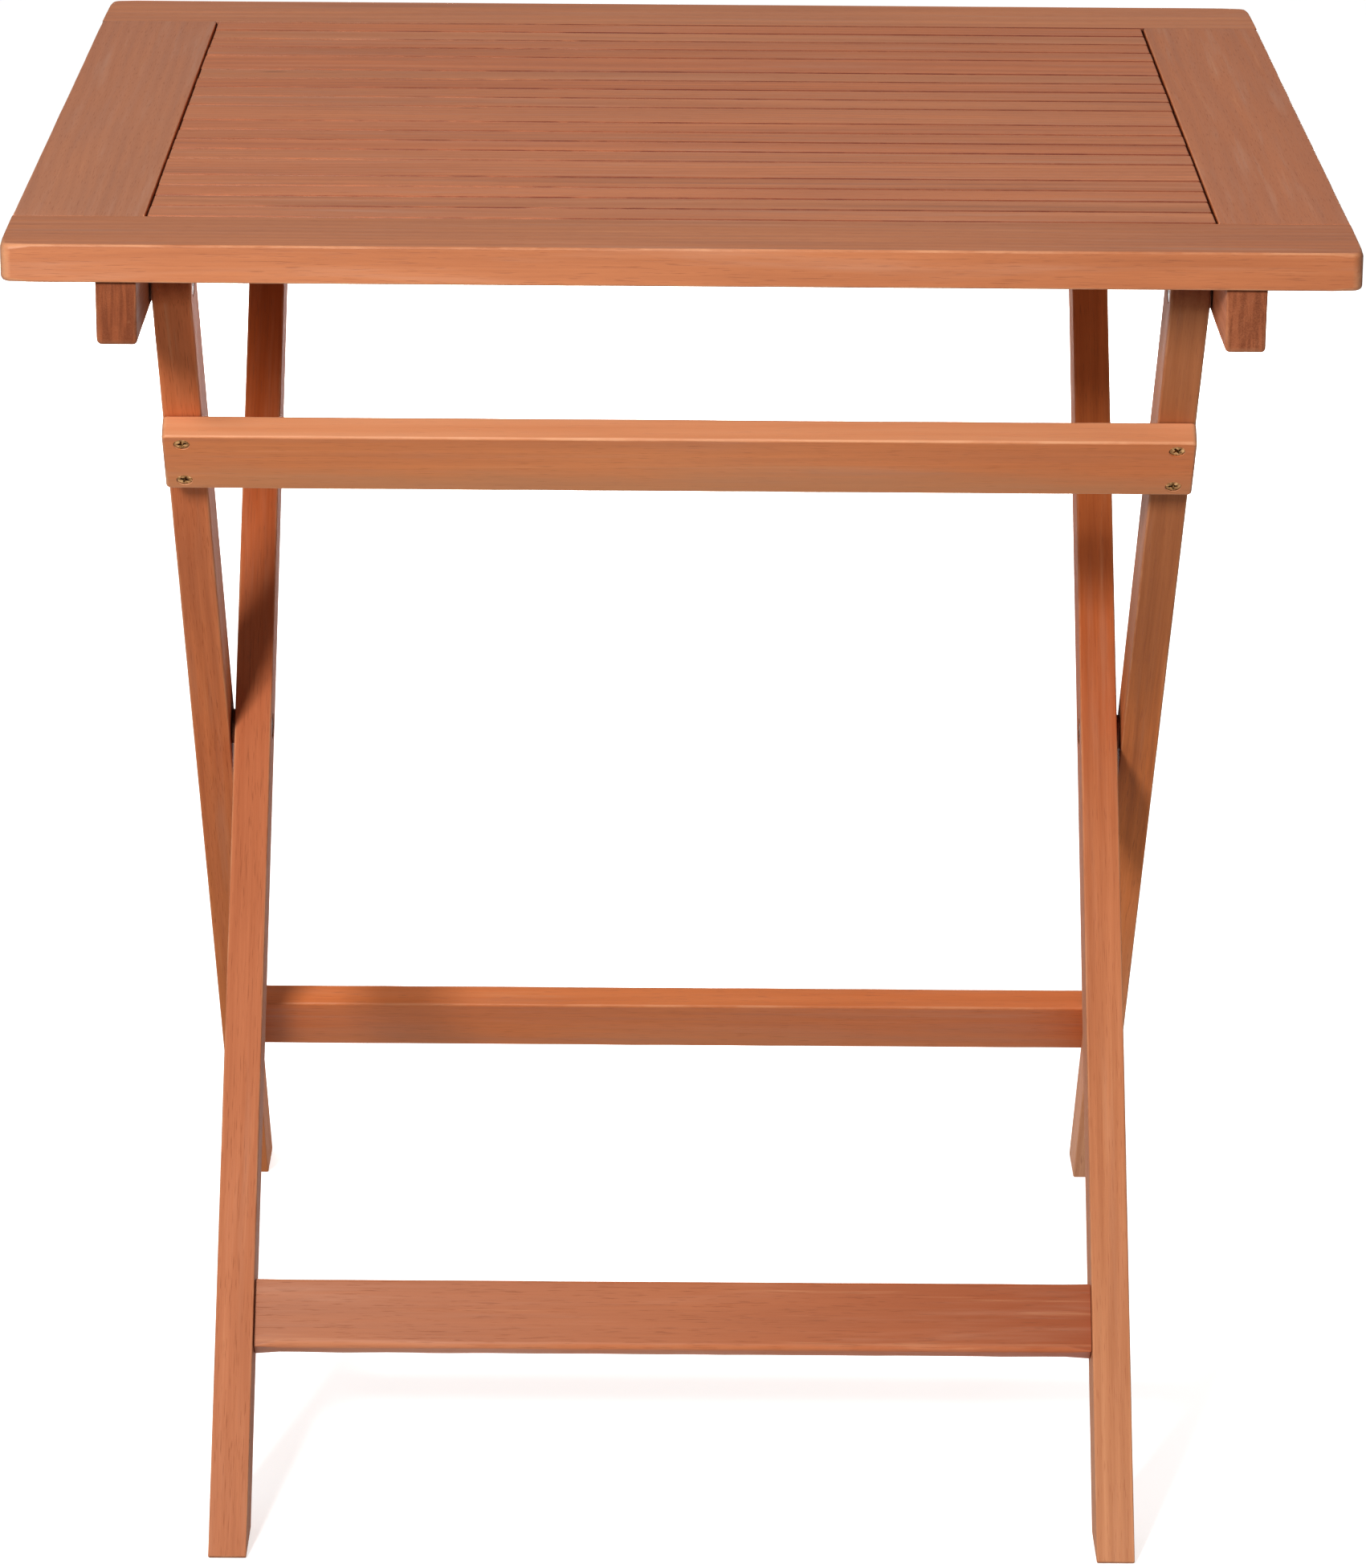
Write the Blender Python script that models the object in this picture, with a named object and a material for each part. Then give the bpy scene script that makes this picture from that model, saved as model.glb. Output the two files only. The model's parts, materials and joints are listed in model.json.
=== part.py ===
"""Folding slatted wooden table with two crossed leg frames.

Metres, +Z up, front of the table towards -Y, origin on the floor under the
middle of the top.  The outer leg frame stands still; the inner leg frame turns
about the bolts at the crossing, and the top turns about the bolts that pass
through its two battens.
"""
import bpy
import bmesh
import math
from mathutils import Vector, Matrix

MM = 0.001

# ---------------------------------------------------------------- dimensions
TOP_W = 700.0            # left to right
TOP_D = 700.0            # front to back
TOP_H = 745.0            # floor to top surface
TOP_T = 20.0             # thickness of boards and slats
BOARD_W = 70.0           # front and back boards
END_W = 69.0             # left and right end boards
END_GAP = 2.0            # open joint between slat ends and end boards
SLAT_GAP = 2.4           # open joint between slats
NARROW_N = 4             # narrow slats in each group
GROUPS = 4               # groups of narrow slats, one wide slat between groups
WIDE_SHARE = 1.69        # wide slat width over narrow slat width
TONGUE_T = 7.0           # slat tongue thickness
TONGUE_L = 10.0          # slat tongue length, past the slat shoulder
FIT = 0.3                # clearance between neighbouring pieces

BATTEN_T = 21.0
BATTEN_H = 34.2
BATTEN_SETBACK = 5.0
BATTEN_IN = 280.5        # inner face of a batten, from the middle

LEG_T = 21.0             # leg thickness, left to right
LEG_W = 34.0             # leg width, in its own plane
OUTER_X = 279.0          # outer face of an outer leg
LEG_GAP = 2.5            # washer gap between outer and inner legs
LEAN = math.radians(38.3)
PIVOT_DROP = 42.0        # leg-top axes below the top surface
OUTER_TOP_Y = -249.5     # leg-top axis of the outer frame
INNER_TOP_Y = 257.0      # leg-top axis of the inner frame

RAIL_W = 46.5            # upper and lower rails
BOTTOM_RAIL_W = 39.4
RAIL_T = 14.5
UPPER_RAIL_S = 92.4      # from the leg-top axis down the leg to the rail
LOWER_RAIL_S = 735.8
BOTTOM_RAIL_S = 746.6
BOTTOM_RAIL_RECESS = 5.0
TENON_L = 11.0
BAR_R = 11.0             # crossbar of the inner frame
BAR_TENON_R = 7.0

CLEAT_W = 20.0
CLEAT_X = 205.0
CLEAT_FRONT_Y = -150.0
CLEAT_BACK_Y = 318.0

BOLT_R = 4.0
BOLT_HEAD_R = 7.5
NUT_AF = 13.0
NUT_T = 5.5
WASHER_R = 10.0
SCREW_R = 2.1
SCREW_HEAD_R = 4.2
SCREW_L = 34.0
SCREW_INSET = 7.6        # screw axis from the long edge of a rail

EDGE = 1.5               # round-over of legs, rails and outer board edges
SOFT = 1.0               # eased edges along the open joints

# ------------------------------------------------------------ derived values
PIVOT_Z = TOP_H - PIVOT_DROP
HALF_SPAN = (INNER_TOP_Y - OUTER_TOP_Y) / 2.0
CROSS_Y = (INNER_TOP_Y + OUTER_TOP_Y) / 2.0
CROSS_Z = PIVOT_Z - HALF_SPAN / math.tan(LEAN)
CROSS_S = HALF_SPAN / math.sin(LEAN)
OUTER_IN = OUTER_X - LEG_T
INNER_X = OUTER_IN - LEG_GAP
INNER_IN = INNER_X - LEG_T
UNDER_Z = TOP_H - TOP_T

TOP_AXIS = Vector((0.0, OUTER_TOP_Y, PIVOT_Z))
BAR_AXIS = Vector((0.0, INNER_TOP_Y, PIVOT_Z))
CROSS_AXIS = Vector((0.0, CROSS_Y, CROSS_Z))

# leg frames: x, down the leg, out of the leg plane
OUTER_DOWN = Vector((0.0, math.sin(LEAN), -math.cos(LEAN)))
OUTER_OUT = Vector((0.0, math.cos(LEAN), math.sin(LEAN)))
INNER_DOWN = Vector((0.0, -math.sin(LEAN), -math.cos(LEAN)))
INNER_OUT = Vector((0.0, math.cos(LEAN), -math.sin(LEAN)))

for old in list(bpy.data.objects):
    bpy.data.objects.remove(old, do_unlink=True)


# ------------------------------------------------------------------ materials
def material(name, colour, rough, metal=0.0):
    mat = bpy.data.materials.new(name)
    mat.use_nodes = True
    shader = mat.node_tree.nodes["Principled BSDF"]
    shader.inputs["Base Color"].default_value = (*colour, 1.0)
    shader.inputs["Roughness"].default_value = rough
    shader.inputs["Metallic"].default_value = metal
    mat.diffuse_color = (*colour, 1.0)
    return mat


WOOD = {
    "board": (0.43, 0.18, 0.095),
    "slat": (0.45, 0.195, 0.105),
    "leg": (0.36, 0.125, 0.06),
    "rail": (0.52, 0.22, 0.105),
    "cleat": (0.33, 0.13, 0.07),
}
BRASS = (0.78, 0.55, 0.22)
STEEL = (0.55, 0.55, 0.56)


# ------------------------------------------------------------------- builders
def finish(name, bm, origin, mat):
    """Make the object from a mesh in millimetres, its origin on the given point."""
    bmesh.ops.recalc_face_normals(bm, faces=bm.faces)
    for vert in bm.verts:
        vert.co = (vert.co - origin) * MM
    mesh = bpy.data.meshes.new(name)
    bm.to_mesh(mesh)
    bm.free()
    mesh.materials.append(mat)
    obj = bpy.data.objects.new(name, mesh)
    obj.location = origin * MM
    bpy.context.scene.collection.objects.link(obj)
    return obj


def helper(name, bm):
    obj = finish(name, bm, Vector((0.0, 0.0, 0.0)), CUTTER_MAT)
    obj.hide_render = True
    obj.display_type = "WIRE"
    return obj


def cut(obj, cutter):
    mod = obj.modifiers.new("cut_" + cutter.name, "BOOLEAN")
    mod.operation = "DIFFERENCE"
    mod.solver = "EXACT"
    mod.object = cutter


def box(lo, hi):
    bm = bmesh.new()
    bmesh.ops.create_cube(bm, size=1.0)
    lo, hi = Vector(lo), Vector(hi)
    for vert in bm.verts:
        vert.co = Vector(
            [lo[i] + (vert.co[i] + 0.5) * (hi[i] - lo[i]) for i in range(3)]
        )
    return bm


def ease(bm, edges, width, segments=2):
    edges = [e for e in edges if e.is_valid]
    if edges:
        bmesh.ops.bevel(
            bm,
            geom=edges,
            offset=width,
            offset_type="OFFSET",
            segments=segments,
            profile=0.5,
            affect="EDGES",
            clamp_overlap=True,
        )


def sharp(bm, least=25.0):
    limit = math.radians(least)
    return [e for e in bm.edges if len(e.link_faces) == 2 and e.calc_face_angle() > limit]


def along(edge, axis):
    d = edge.verts[1].co - edge.verts[0].co
    return abs(d[axis]) > 0.999 * d.length


def prism(outline, to_world, length_from, length_to):
    """Closed outline in two local axes, swept along the third."""
    bm = bmesh.new()
    near = [bm.verts.new(to_world(length_from, a, b)) for a, b in outline]
    far = [bm.verts.new(to_world(length_to, a, b)) for a, b in outline]
    bm.faces.new(near)
    bm.faces.new(list(reversed(far)))
    count = len(outline)
    for i in range(count):
        j = (i + 1) % count
        bm.faces.new((near[j], near[i], far[i], far[j]))
    bmesh.ops.recalc_face_normals(bm, faces=bm.faces)
    return bm


def turned(profile, centre, axis, ref, steps=24):
    """Closed body of revolution from (radius, distance) pairs along an axis."""
    axis = axis.normalized()
    u = ref.normalized()
    v = axis.cross(u)
    bm = bmesh.new()
    rings = []
    for radius, dist in profile:
        base = centre + axis * dist
        if radius <= 0.0:
            rings.append([bm.verts.new(base)])
        else:
            rings.append(
                [
                    bm.verts.new(
                        base
                        + (u * math.cos(t) + v * math.sin(t)) * radius
                    )
                    for t in (2.0 * math.pi * k / steps for k in range(steps))
                ]
            )
    for ring in (rings[0], rings[-1]):
        if len(ring) > 1:
            bm.faces.new(ring)
    for one, two in zip(rings, rings[1:]):
        for k in range(steps):
            n = (k + 1) % steps
            if len(one) == 1:
                bm.faces.new((one[0], two[k], two[n]))
            elif len(two) == 1:
                bm.faces.new((one[k], one[n], two[0]))
            else:
                bm.faces.new((one[k], one[n], two[n], two[k]))
    bmesh.ops.recalc_face_normals(bm, faces=bm.faces)
    return bm


def ring_body(r_in, r_out, x0, x1, centre, steps=24):
    """Flat ring about an X axis through the centre."""
    bm = bmesh.new()
    loops = []
    for radius, x in ((r_in, x0), (r_out, x0), (r_out, x1), (r_in, x1)):
        loops.append(
            [
                bm.verts.new(
                    (
                        x,
                        centre.y + radius * math.cos(2.0 * math.pi * k / steps),
                        centre.z + radius * math.sin(2.0 * math.pi * k / steps),
                    )
                )
                for k in range(steps)
            ]
        )
    for i in range(4):
        one, two = loops[i], loops[(i + 1) % 4]
        for k in range(steps):
            n = (k + 1) % steps
            bm.faces.new((one[k], one[n], two[n], two[k]))
    bmesh.ops.recalc_face_normals(bm, faces=bm.faces)
    return bm


CUTTER_MAT = material("clearance", (0.5, 0.5, 0.5), 0.5)

# ------------------------------------------------------------------------ top
HALF_W = TOP_W / 2.0
HALF_D = TOP_D / 2.0
FIELD = TOP_D - 2.0 * BOARD_W
SLATS = GROUPS * NARROW_N + (GROUPS - 1)
NARROW_W = (FIELD - (SLATS + 1) * SLAT_GAP) / (
    GROUPS * NARROW_N + (GROUPS - 1) * WIDE_SHARE
)
WIDE_W = NARROW_W * WIDE_SHARE
MID_Z = TOP_H - TOP_T / 2.0

wood_board = {}


def board_material(name, key, shift):
    base = WOOD[key]
    tint = 1.0 + shift
    return material("wood_" + name, tuple(min(1.0, c * tint) for c in base), 0.55)


def cross_board(name, y_outer, y_inner):
    """Full-width board at the front or the back of the top."""
    lo = (-HALF_W, min(y_outer, y_inner), UNDER_Z)
    hi = (HALF_W, max(y_outer, y_inner), TOP_H)
    bm = box(lo, hi)
    corners = [
        e
        for e in bm.edges
        if along(e, 2) and abs(e.verts[0].co.y - y_outer) < 0.01
    ]
    ease(bm, corners, 4.0, 3)
    long_inner = [
        e
        for e in sharp(bm)
        if along(e, 0) and abs(e.verts[0].co.y - y_inner) < 0.01
    ]
    rest = [
        e
        for e in sharp(bm)
        if not along(e, 2) and e not in long_inner
    ]
    ease(bm, rest, EDGE, 2)
    inner = [
        e
        for e in sharp(bm, 60.0)
        if along(e, 0) and abs(e.verts[0].co.y - y_inner) < 0.01
    ]
    ease(bm, inner, SOFT * 0.6, 1)
    return finish(name, bm, TOP_AXIS, board_material(name, "board", 0.0))


cross_board("front_board", -HALF_D, -HALF_D + BOARD_W)
cross_board("back_board", HALF_D, HALF_D - BOARD_W)


def end_board(name, side):
    """End board with a groove along its inner edge for the slat tongues."""
    x_out = HALF_W
    x_in = HALF_W - END_W
    groove = TONGUE_L - END_GAP + FIT
    half = TONGUE_T / 2.0 + FIT
    r = EDGE
    outline = [
        (x_in, UNDER_Z),
        (x_out - r, UNDER_Z),
        (x_out - 0.3 * r, UNDER_Z + 0.3 * r),
        (x_out, UNDER_Z + r),
        (x_out, TOP_H - r),
        (x_out - 0.3 * r, TOP_H - 0.3 * r),
        (x_out - r, TOP_H),
        (x_in + SOFT, TOP_H),
        (x_in, TOP_H - SOFT),
        (x_in, MID_Z + half),
        (x_in + groove, MID_Z + half),
        (x_in + groove, MID_Z - half),
        (x_in, MID_Z - half),
    ]
    y = HALF_D - BOARD_W - FIT / 2.0
    bm = prism(outline, lambda d, a, b: Vector((side * a, d, b)), -y, y)
    return finish(name, bm, TOP_AXIS, board_material(name, "board", -0.05))


end_board("end_board_left", -1.0)
end_board("end_board_right", 1.0)


def slat(name, y0, y1):
    """Slat with a tongue at each end."""
    x = HALF_W - END_W - END_GAP
    bm = box((-x, y0, UNDER_Z), (x, y1, TOP_H))
    ease(bm, sharp(bm), SOFT, 2)
    bm.faces.ensure_lookup_table()
    for side in (-1.0, 1.0):
        face = max(
            (f for f in bm.faces if f.normal.x * side > 0.99),
            key=lambda f: f.calc_area(),
        )
        made = bmesh.ops.inset_individual(bm, faces=[face], thickness=0.8, depth=0.0)
        inner = face
        half = TONGUE_T / 2.0
        for vert in inner.verts:
            vert.co.z = MID_Z + (half if vert.co.z > MID_Z else -half)
        out = bmesh.ops.extrude_face_region(bm, geom=[inner])
        for vert in (g for g in out["geom"] if isinstance(g, bmesh.types.BMVert)):
            vert.co.x += side * TONGUE_L
        if inner.is_valid:
            bm.faces.remove(inner)
        bm.faces.ensure_lookup_table()
    return finish(name, bm, TOP_AXIS, board_material(name, "slat", SHADE[name]))


SHADE = {}
edge = -HALF_D + BOARD_W + SLAT_GAP
row = 1
for group in range(GROUPS):
    widths = [NARROW_W] * NARROW_N + ([WIDE_W] if group < GROUPS - 1 else [])
    for width in widths:
        label = "slat_%02d" % row
        SHADE[label] = 0.06 * math.sin(row * 2.4)
        slat(label, edge, edge + width)
        edge += width + SLAT_GAP
        row += 1


# ------------------------------------------------------------- battens, cleats
def batten(name, side):
    y = HALF_D - BATTEN_SETBACK
    top = UNDER_Z - FIT
    lo = (BATTEN_IN, -y, top - BATTEN_H)
    hi = (BATTEN_IN + BATTEN_T, y, top)
    if side < 0:
        lo, hi = (-hi[0], lo[1], lo[2]), (-lo[0], hi[1], hi[2])
    bm = box(lo, hi)
    ease(bm, [e for e in bm.edges if min(v.co.z for v in e.verts) < top - 1.0], EDGE, 2)
    return finish(name, bm, TOP_AXIS, board_material(name, "rail", -0.15))


battens = {-1: batten("batten_left", -1), 1: batten("batten_right", 1)}


def cleat(name, side):
    """Strip under the slats with a shoulder that stops the crossbar."""
    top = UNDER_Z - FIT
    strip = PIVOT_Z + BAR_R + 0.4
    stop_y = INNER_TOP_Y + BAR_R + 0.4
    foot = PIVOT_Z - BAR_R
    outline = [
        (CLEAT_FRONT_Y, top),
        (CLEAT_BACK_Y, top),
        (CLEAT_BACK_Y, strip),
        (CLEAT_BACK_Y - 14.0, foot),
        (stop_y, foot),
        (stop_y, strip),
        (CLEAT_FRONT_Y + 6.0, strip),
        (CLEAT_FRONT_Y, strip + 5.0),
    ]
    x0 = side * CLEAT_X - CLEAT_W / 2.0
    bm = prism(outline, lambda d, a, b: Vector((d, a, b)), x0, x0 + CLEAT_W)
    return finish(name, bm, TOP_AXIS, board_material(name, "cleat", 0.0))


cleat("catch_cleat_left", -1)
cleat("catch_cleat_right", 1)


# ----------------------------------------------------------------------- legs
def in_frame(head, down, out):
    return lambda x, s, o: Vector((x, 0.0, 0.0)) + head + down * s + out * o


outer_at = in_frame(TOP_AXIS, OUTER_DOWN, OUTER_OUT)
inner_at = in_frame(BAR_AXIS, INNER_DOWN, INNER_OUT)


def leg_outline(tilt):
    """Rounded head about the leg-top axis, foot cut level with the floor."""
    half = LEG_W / 2.0
    steps = 10
    head = [
        (-half * math.sin(math.pi * k / steps), -half * math.cos(math.pi * k / steps))
        for k in range(steps + 1)
    ]
    foot = [
        ((PIVOT_Z + tilt * o * math.sin(LEAN)) / math.cos(LEAN), o)
        for o in (half, -half)
    ]
    return head + foot


def leg(name, at, tilt, x_out, side, origin, shift):
    x0, x1 = sorted((side * x_out, side * (x_out - LEG_T)))
    bm = prism(leg_outline(tilt), at, x0, x1)
    ease(bm, sharp(bm), EDGE, 2)
    return finish(name, bm, origin, board_material(name, "leg", shift))


outer_legs, inner_legs = {}, {}
for side, word in ((-1, "left"), (1, "right")):
    outer_legs[side] = leg(
        "outer_leg_" + word, outer_at, 1.0, OUTER_X, side, CROSS_AXIS, -0.08 * side
    )
    inner_legs[side] = leg(
        "inner_leg_" + word, inner_at, -1.0, INNER_X, side, CROSS_AXIS, 0.05
    )


# ---------------------------------------------------------------------- rails
def outer_rail(name, s0, o0, shift):
    """Rail across the outer legs, on one face of them."""
    bm = box((-OUTER_X, s0, o0), (OUTER_X, s0 + RAIL_W, o0 + RAIL_T))
    ease(bm, sharp(bm), EDGE, 2)
    for vert in bm.verts:
        vert.co = outer_at(*vert.co)
    return finish(name, bm, CROSS_AXIS, board_material(name, "rail", shift))


FACE = LEG_W / 2.0 + FIT
upper_rail = outer_rail("upper_rail", UPPER_RAIL_S, -FACE - RAIL_T, 0.05)
lower_rail = outer_rail("lower_rail", LOWER_RAIL_S, FACE, -0.05)


def tenoned_rail(name):
    """Rail between the inner legs, with a tenon at each end."""
    x = INNER_IN - FIT
    front = -LEG_W / 2.0 + BOTTOM_RAIL_RECESS
    s0, s1 = BOTTOM_RAIL_S, BOTTOM_RAIL_S + BOTTOM_RAIL_W
    o0, o1 = front, front + RAIL_T
    bm = box((-x, s0, o0), (x, s1, o1))
    ease(bm, [e for e in bm.edges if along(e, 0)], EDGE, 2)
    bm.faces.ensure_lookup_table()
    so, oo = (s0 + s1) / 2.0, (o0 + o1) / 2.0
    for side in (-1.0, 1.0):
        face = max(
            (f for f in bm.faces if f.normal.x * side > 0.99),
            key=lambda f: f.calc_area(),
        )
        bmesh.ops.inset_individual(bm, faces=[face], thickness=2.5, depth=0.0)
        out = bmesh.ops.extrude_face_region(bm, geom=[face])
        for vert in (g for g in out["geom"] if isinstance(g, bmesh.types.BMVert)):
            vert.co.x += side * (TENON_L + FIT)
        if face.is_valid:
            bm.faces.remove(face)
        bm.faces.ensure_lookup_table()
    tenon = [v.co for v in bm.verts if abs(v.co.x) > x + 1.0]
    reach = (
        min(c.y for c in tenon),
        max(c.y for c in tenon),
        min(c.z for c in tenon),
        max(c.z for c in tenon),
    )
    for vert in bm.verts:
        vert.co = inner_at(*vert.co)
    obj = finish(name, bm, CROSS_AXIS, board_material(name, "rail", -0.1))
    return obj, reach


bottom_rail, tenon_reach = tenoned_rail("bottom_rail")
for side in (-1, 1):
    x0 = side * (INNER_IN - 5.0)
    x1 = side * (INNER_IN + TENON_L + 2.0 * FIT)
    lo, hi = sorted((x0, x1))
    bm = box(
        (lo, tenon_reach[0] - FIT, tenon_reach[2] - FIT),
        (hi, tenon_reach[1] + FIT, tenon_reach[3] + FIT),
    )
    for vert in bm.verts:
        vert.co = inner_at(*vert.co)
    bmesh.ops.recalc_face_normals(bm, faces=bm.faces)
    cut(inner_legs[side], helper("mortise_%s" % ("left" if side < 0 else "right"), bm))

# round crossbar between the heads of the inner legs
bar_body = INNER_IN - FIT
bar_end = INNER_IN + TENON_L
profile = [
    (BAR_TENON_R - 1.0, -bar_end),
    (BAR_TENON_R, -bar_end + 1.0),
    (BAR_TENON_R, -bar_body),
    (BAR_R - 1.0, -bar_body),
    (BAR_R, -bar_body + 1.0),
    (BAR_R, bar_body - 1.0),
    (BAR_R - 1.0, bar_body),
    (BAR_TENON_R, bar_body),
    (BAR_TENON_R, bar_end - 1.0),
    (BAR_TENON_R - 1.0, bar_end),
]
X_AXIS = Vector((1.0, 0.0, 0.0))
Y_AXIS = Vector((0.0, 1.0, 0.0))
finish(
    "crossbar",
    turned(profile, BAR_AXIS, X_AXIS, Y_AXIS),
    CROSS_AXIS,
    board_material("crossbar", "cleat", 0.1),
)
for side in (-1, 1):
    bm = turned(
        [
            (BAR_TENON_R + FIT, INNER_IN - 5.0),
            (BAR_TENON_R + FIT, INNER_IN + TENON_L + FIT),
        ],
        BAR_AXIS,
        X_AXIS * side,
        Y_AXIS,
    )
    cut(inner_legs[side], helper("bar_hole_%s" % ("left" if side < 0 else "right"), bm))


# --------------------------------------------------------------------- pivots
brass = material("brass_plate", BRASS, 0.35, 1.0)
steel = material("steel_zinc", STEEL, 0.38, 1.0)


def metal(name, base):
    mat = base.copy()
    mat.name = base.name + "_" + name
    return mat


def nut_body(x0, x1, centre, bore, side):
    """Hexagon nut about an X axis, with a round bore and eased corners."""
    steps = 24
    flat = NUT_AF / 2.0
    bm = bmesh.new()
    loops = []
    ease_x = 0.8

    def hexagon(t):
        local = (t + math.pi / 6.0) % (math.pi / 3.0) - math.pi / 6.0
        return flat / math.cos(local)

    for radius, x in (
        (lambda t: bore, x0),
        (lambda t: min(hexagon(t), flat), x0),
        (hexagon, x0 + ease_x),
        (hexagon, x1 - ease_x),
        (lambda t: min(hexagon(t), flat), x1),
        (lambda t: bore, x1),
    ):
        loops.append(
            [
                bm.verts.new(
                    (
                        side * x,
                        centre.y + radius(t) * math.cos(t),
                        centre.z + radius(t) * math.sin(t),
                    )
                )
                for t in (2.0 * math.pi * k / steps for k in range(steps))
            ]
        )
    for i in range(len(loops)):
        one, two = loops[i], loops[(i + 1) % len(loops)]
        for k in range(steps):
            n = (k + 1) % steps
            bm.faces.new((one[k], one[n], two[n], two[k]))
    bmesh.ops.recalc_face_normals(bm, faces=bm.faces)
    return bm


def flat_bolt(name, axis_point, side, x_head, x_end, origin, base, driver=True):
    """Bolt with a countersunk head at x_head, running to x_end."""
    sign = 1.0 if x_end > x_head else -1.0
    length = abs(x_end - x_head)
    cone = BOLT_HEAD_R - BOLT_R
    profile = [
        (BOLT_HEAD_R - 0.4, 0.0),
        (BOLT_HEAD_R, 0.4),
        (BOLT_HEAD_R, 0.8),
        (BOLT_R, 0.8 + cone),
        (BOLT_R, length - 0.8),
        (BOLT_R - 0.8, length),
    ]
    start = Vector((side * x_head, axis_point.y, axis_point.z))
    axis = X_AXIS * (side * sign)
    obj = finish(name, turned(profile, start, axis, Y_AXIS), origin, metal(name, base))
    if driver:
        drive = turned(
            [(2.6, -1.0), (2.6, 2.6)], start, axis, Y_AXIS, steps=6
        )
        cut(obj, helper(name + "_drive", drive))
    clear = [
        (BOLT_HEAD_R + FIT, -3.0),
        (BOLT_HEAD_R + FIT, 0.8 + 0.1),
        (BOLT_R + FIT, 0.8 + 0.1 + cone),
        (BOLT_R + FIT, length + 6.0),
    ]
    cutter = helper(name + "_clear", turned(clear, start, axis, Y_AXIS))
    return obj, cutter


for side, word in ((-1, "left"), (1, "right")):
    # bolts through the battens and the heads of the outer legs
    batten_out = BATTEN_IN + BATTEN_T
    bolt, clear = flat_bolt(
        "top_bolt_" + word,
        TOP_AXIS,
        side,
        OUTER_IN + 0.3,
        batten_out + FIT + NUT_T + 1.2,
        TOP_AXIS,
        steel,
    )
    cut(outer_legs[side], clear)
    cut(battens[side], clear)
    finish(
        "top_washer_" + word,
        ring_body(
            BOLT_R + FIT,
            WASHER_R,
            side * (OUTER_X + FIT),
            side * (BATTEN_IN - FIT),
            TOP_AXIS,
        ),
        TOP_AXIS,
        metal("top_washer_" + word, steel),
    )
    finish(
        "top_nut_" + word,
        nut_body(
            batten_out + FIT, batten_out + FIT + NUT_T, TOP_AXIS, BOLT_R + FIT, side
        ),
        TOP_AXIS,
        metal("top_nut_" + word, steel),
    )
    # bolts through both legs at the crossing, flush on both sides
    bolt, clear = flat_bolt(
        "cross_bolt_" + word,
        CROSS_AXIS,
        side,
        OUTER_X - 0.3,
        INNER_IN + 0.8,
        CROSS_AXIS,
        steel,
    )
    cut(outer_legs[side], clear)
    cut(inner_legs[side], clear)
    finish(
        "cross_washer_" + word,
        ring_body(
            BOLT_R + FIT,
            WASHER_R,
            side * (INNER_X + FIT),
            side * (OUTER_IN - FIT),
            CROSS_AXIS,
        ),
        CROSS_AXIS,
        metal("cross_washer_" + word, steel),
    )
    nut_x0 = INNER_IN + 0.6
    finish(
        "cross_nut_" + word,
        nut_body(nut_x0, nut_x0 + NUT_T, CROSS_AXIS, BOLT_R + FIT, side),
        CROSS_AXIS,
        metal("cross_nut_" + word, steel),
    )
    well = turned(
        [
            (NUT_AF / 2.0 / math.cos(math.pi / 6.0) + FIT, INNER_IN - 4.0),
            (NUT_AF / 2.0 / math.cos(math.pi / 6.0) + FIT, nut_x0 + NUT_T + FIT),
        ],
        CROSS_AXIS,
        X_AXIS * side,
        Y_AXIS,
    )
    cut(inner_legs[side], helper("nut_well_" + word, well))


# --------------------------------------------------------------------- screws
def rail_screw(name, x, s, face_o, inward, rail, leg_obj):
    """Countersunk cross-head screw through a rail into a leg."""
    start = outer_at(x, s, face_o) + OUTER_OUT * (inward * 0.25)
    axis = OUTER_OUT * inward
    cone = SCREW_HEAD_R - SCREW_R
    profile = [
        (SCREW_HEAD_R - 0.25, 0.0),
        (SCREW_HEAD_R, 0.25),
        (SCREW_HEAD_R, 0.5),
        (SCREW_R, 0.5 + cone),
        (SCREW_R, SCREW_L - 6.0),
        (0.0, SCREW_L),
    ]
    obj = finish(
        name, turned(profile, start, axis, X_AXIS, 20), CROSS_AXIS, metal(name, brass)
    )
    bm = bmesh.new()
    arm, half, depth = 2.5, 0.55, 1.5
    plus = [
        (arm, -half), (arm, half), (half, half), (half, arm), (-half, arm),
        (-half, half), (-arm, half), (-arm, -half), (-half, -half),
        (-half, -arm), (half, -arm), (half, -half),
    ]
    turn = 0.35 + 0.8 * (x * 0.01 + s * 0.02)
    ca, sa = math.cos(turn), math.sin(turn)
    side_axis = axis.cross(X_AXIS)
    bm.free()
    bm = prism(
        plus,
        lambda d, a, b: start
        + axis * d
        + X_AXIS * (a * ca - b * sa)
        + side_axis * (a * sa + b * ca),
        -1.0,
        depth,
    )
    cut(obj, helper(name + "_drive", bm))
    clear = helper(
        name + "_clear",
        turned(
            [
                (SCREW_HEAD_R + FIT, -3.0),
                (SCREW_HEAD_R + FIT, 0.5 + 0.1),
                (SCREW_R + FIT, 0.5 + 0.1 + cone),
                (SCREW_R + FIT, SCREW_L - 6.0 + 0.2),
                (0.0, SCREW_L + 0.6),
            ],
            start,
            axis,
            X_AXIS,
            20,
        ),
    )
    cut(rail, clear)
    cut(leg_obj, clear)
    return obj


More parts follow.
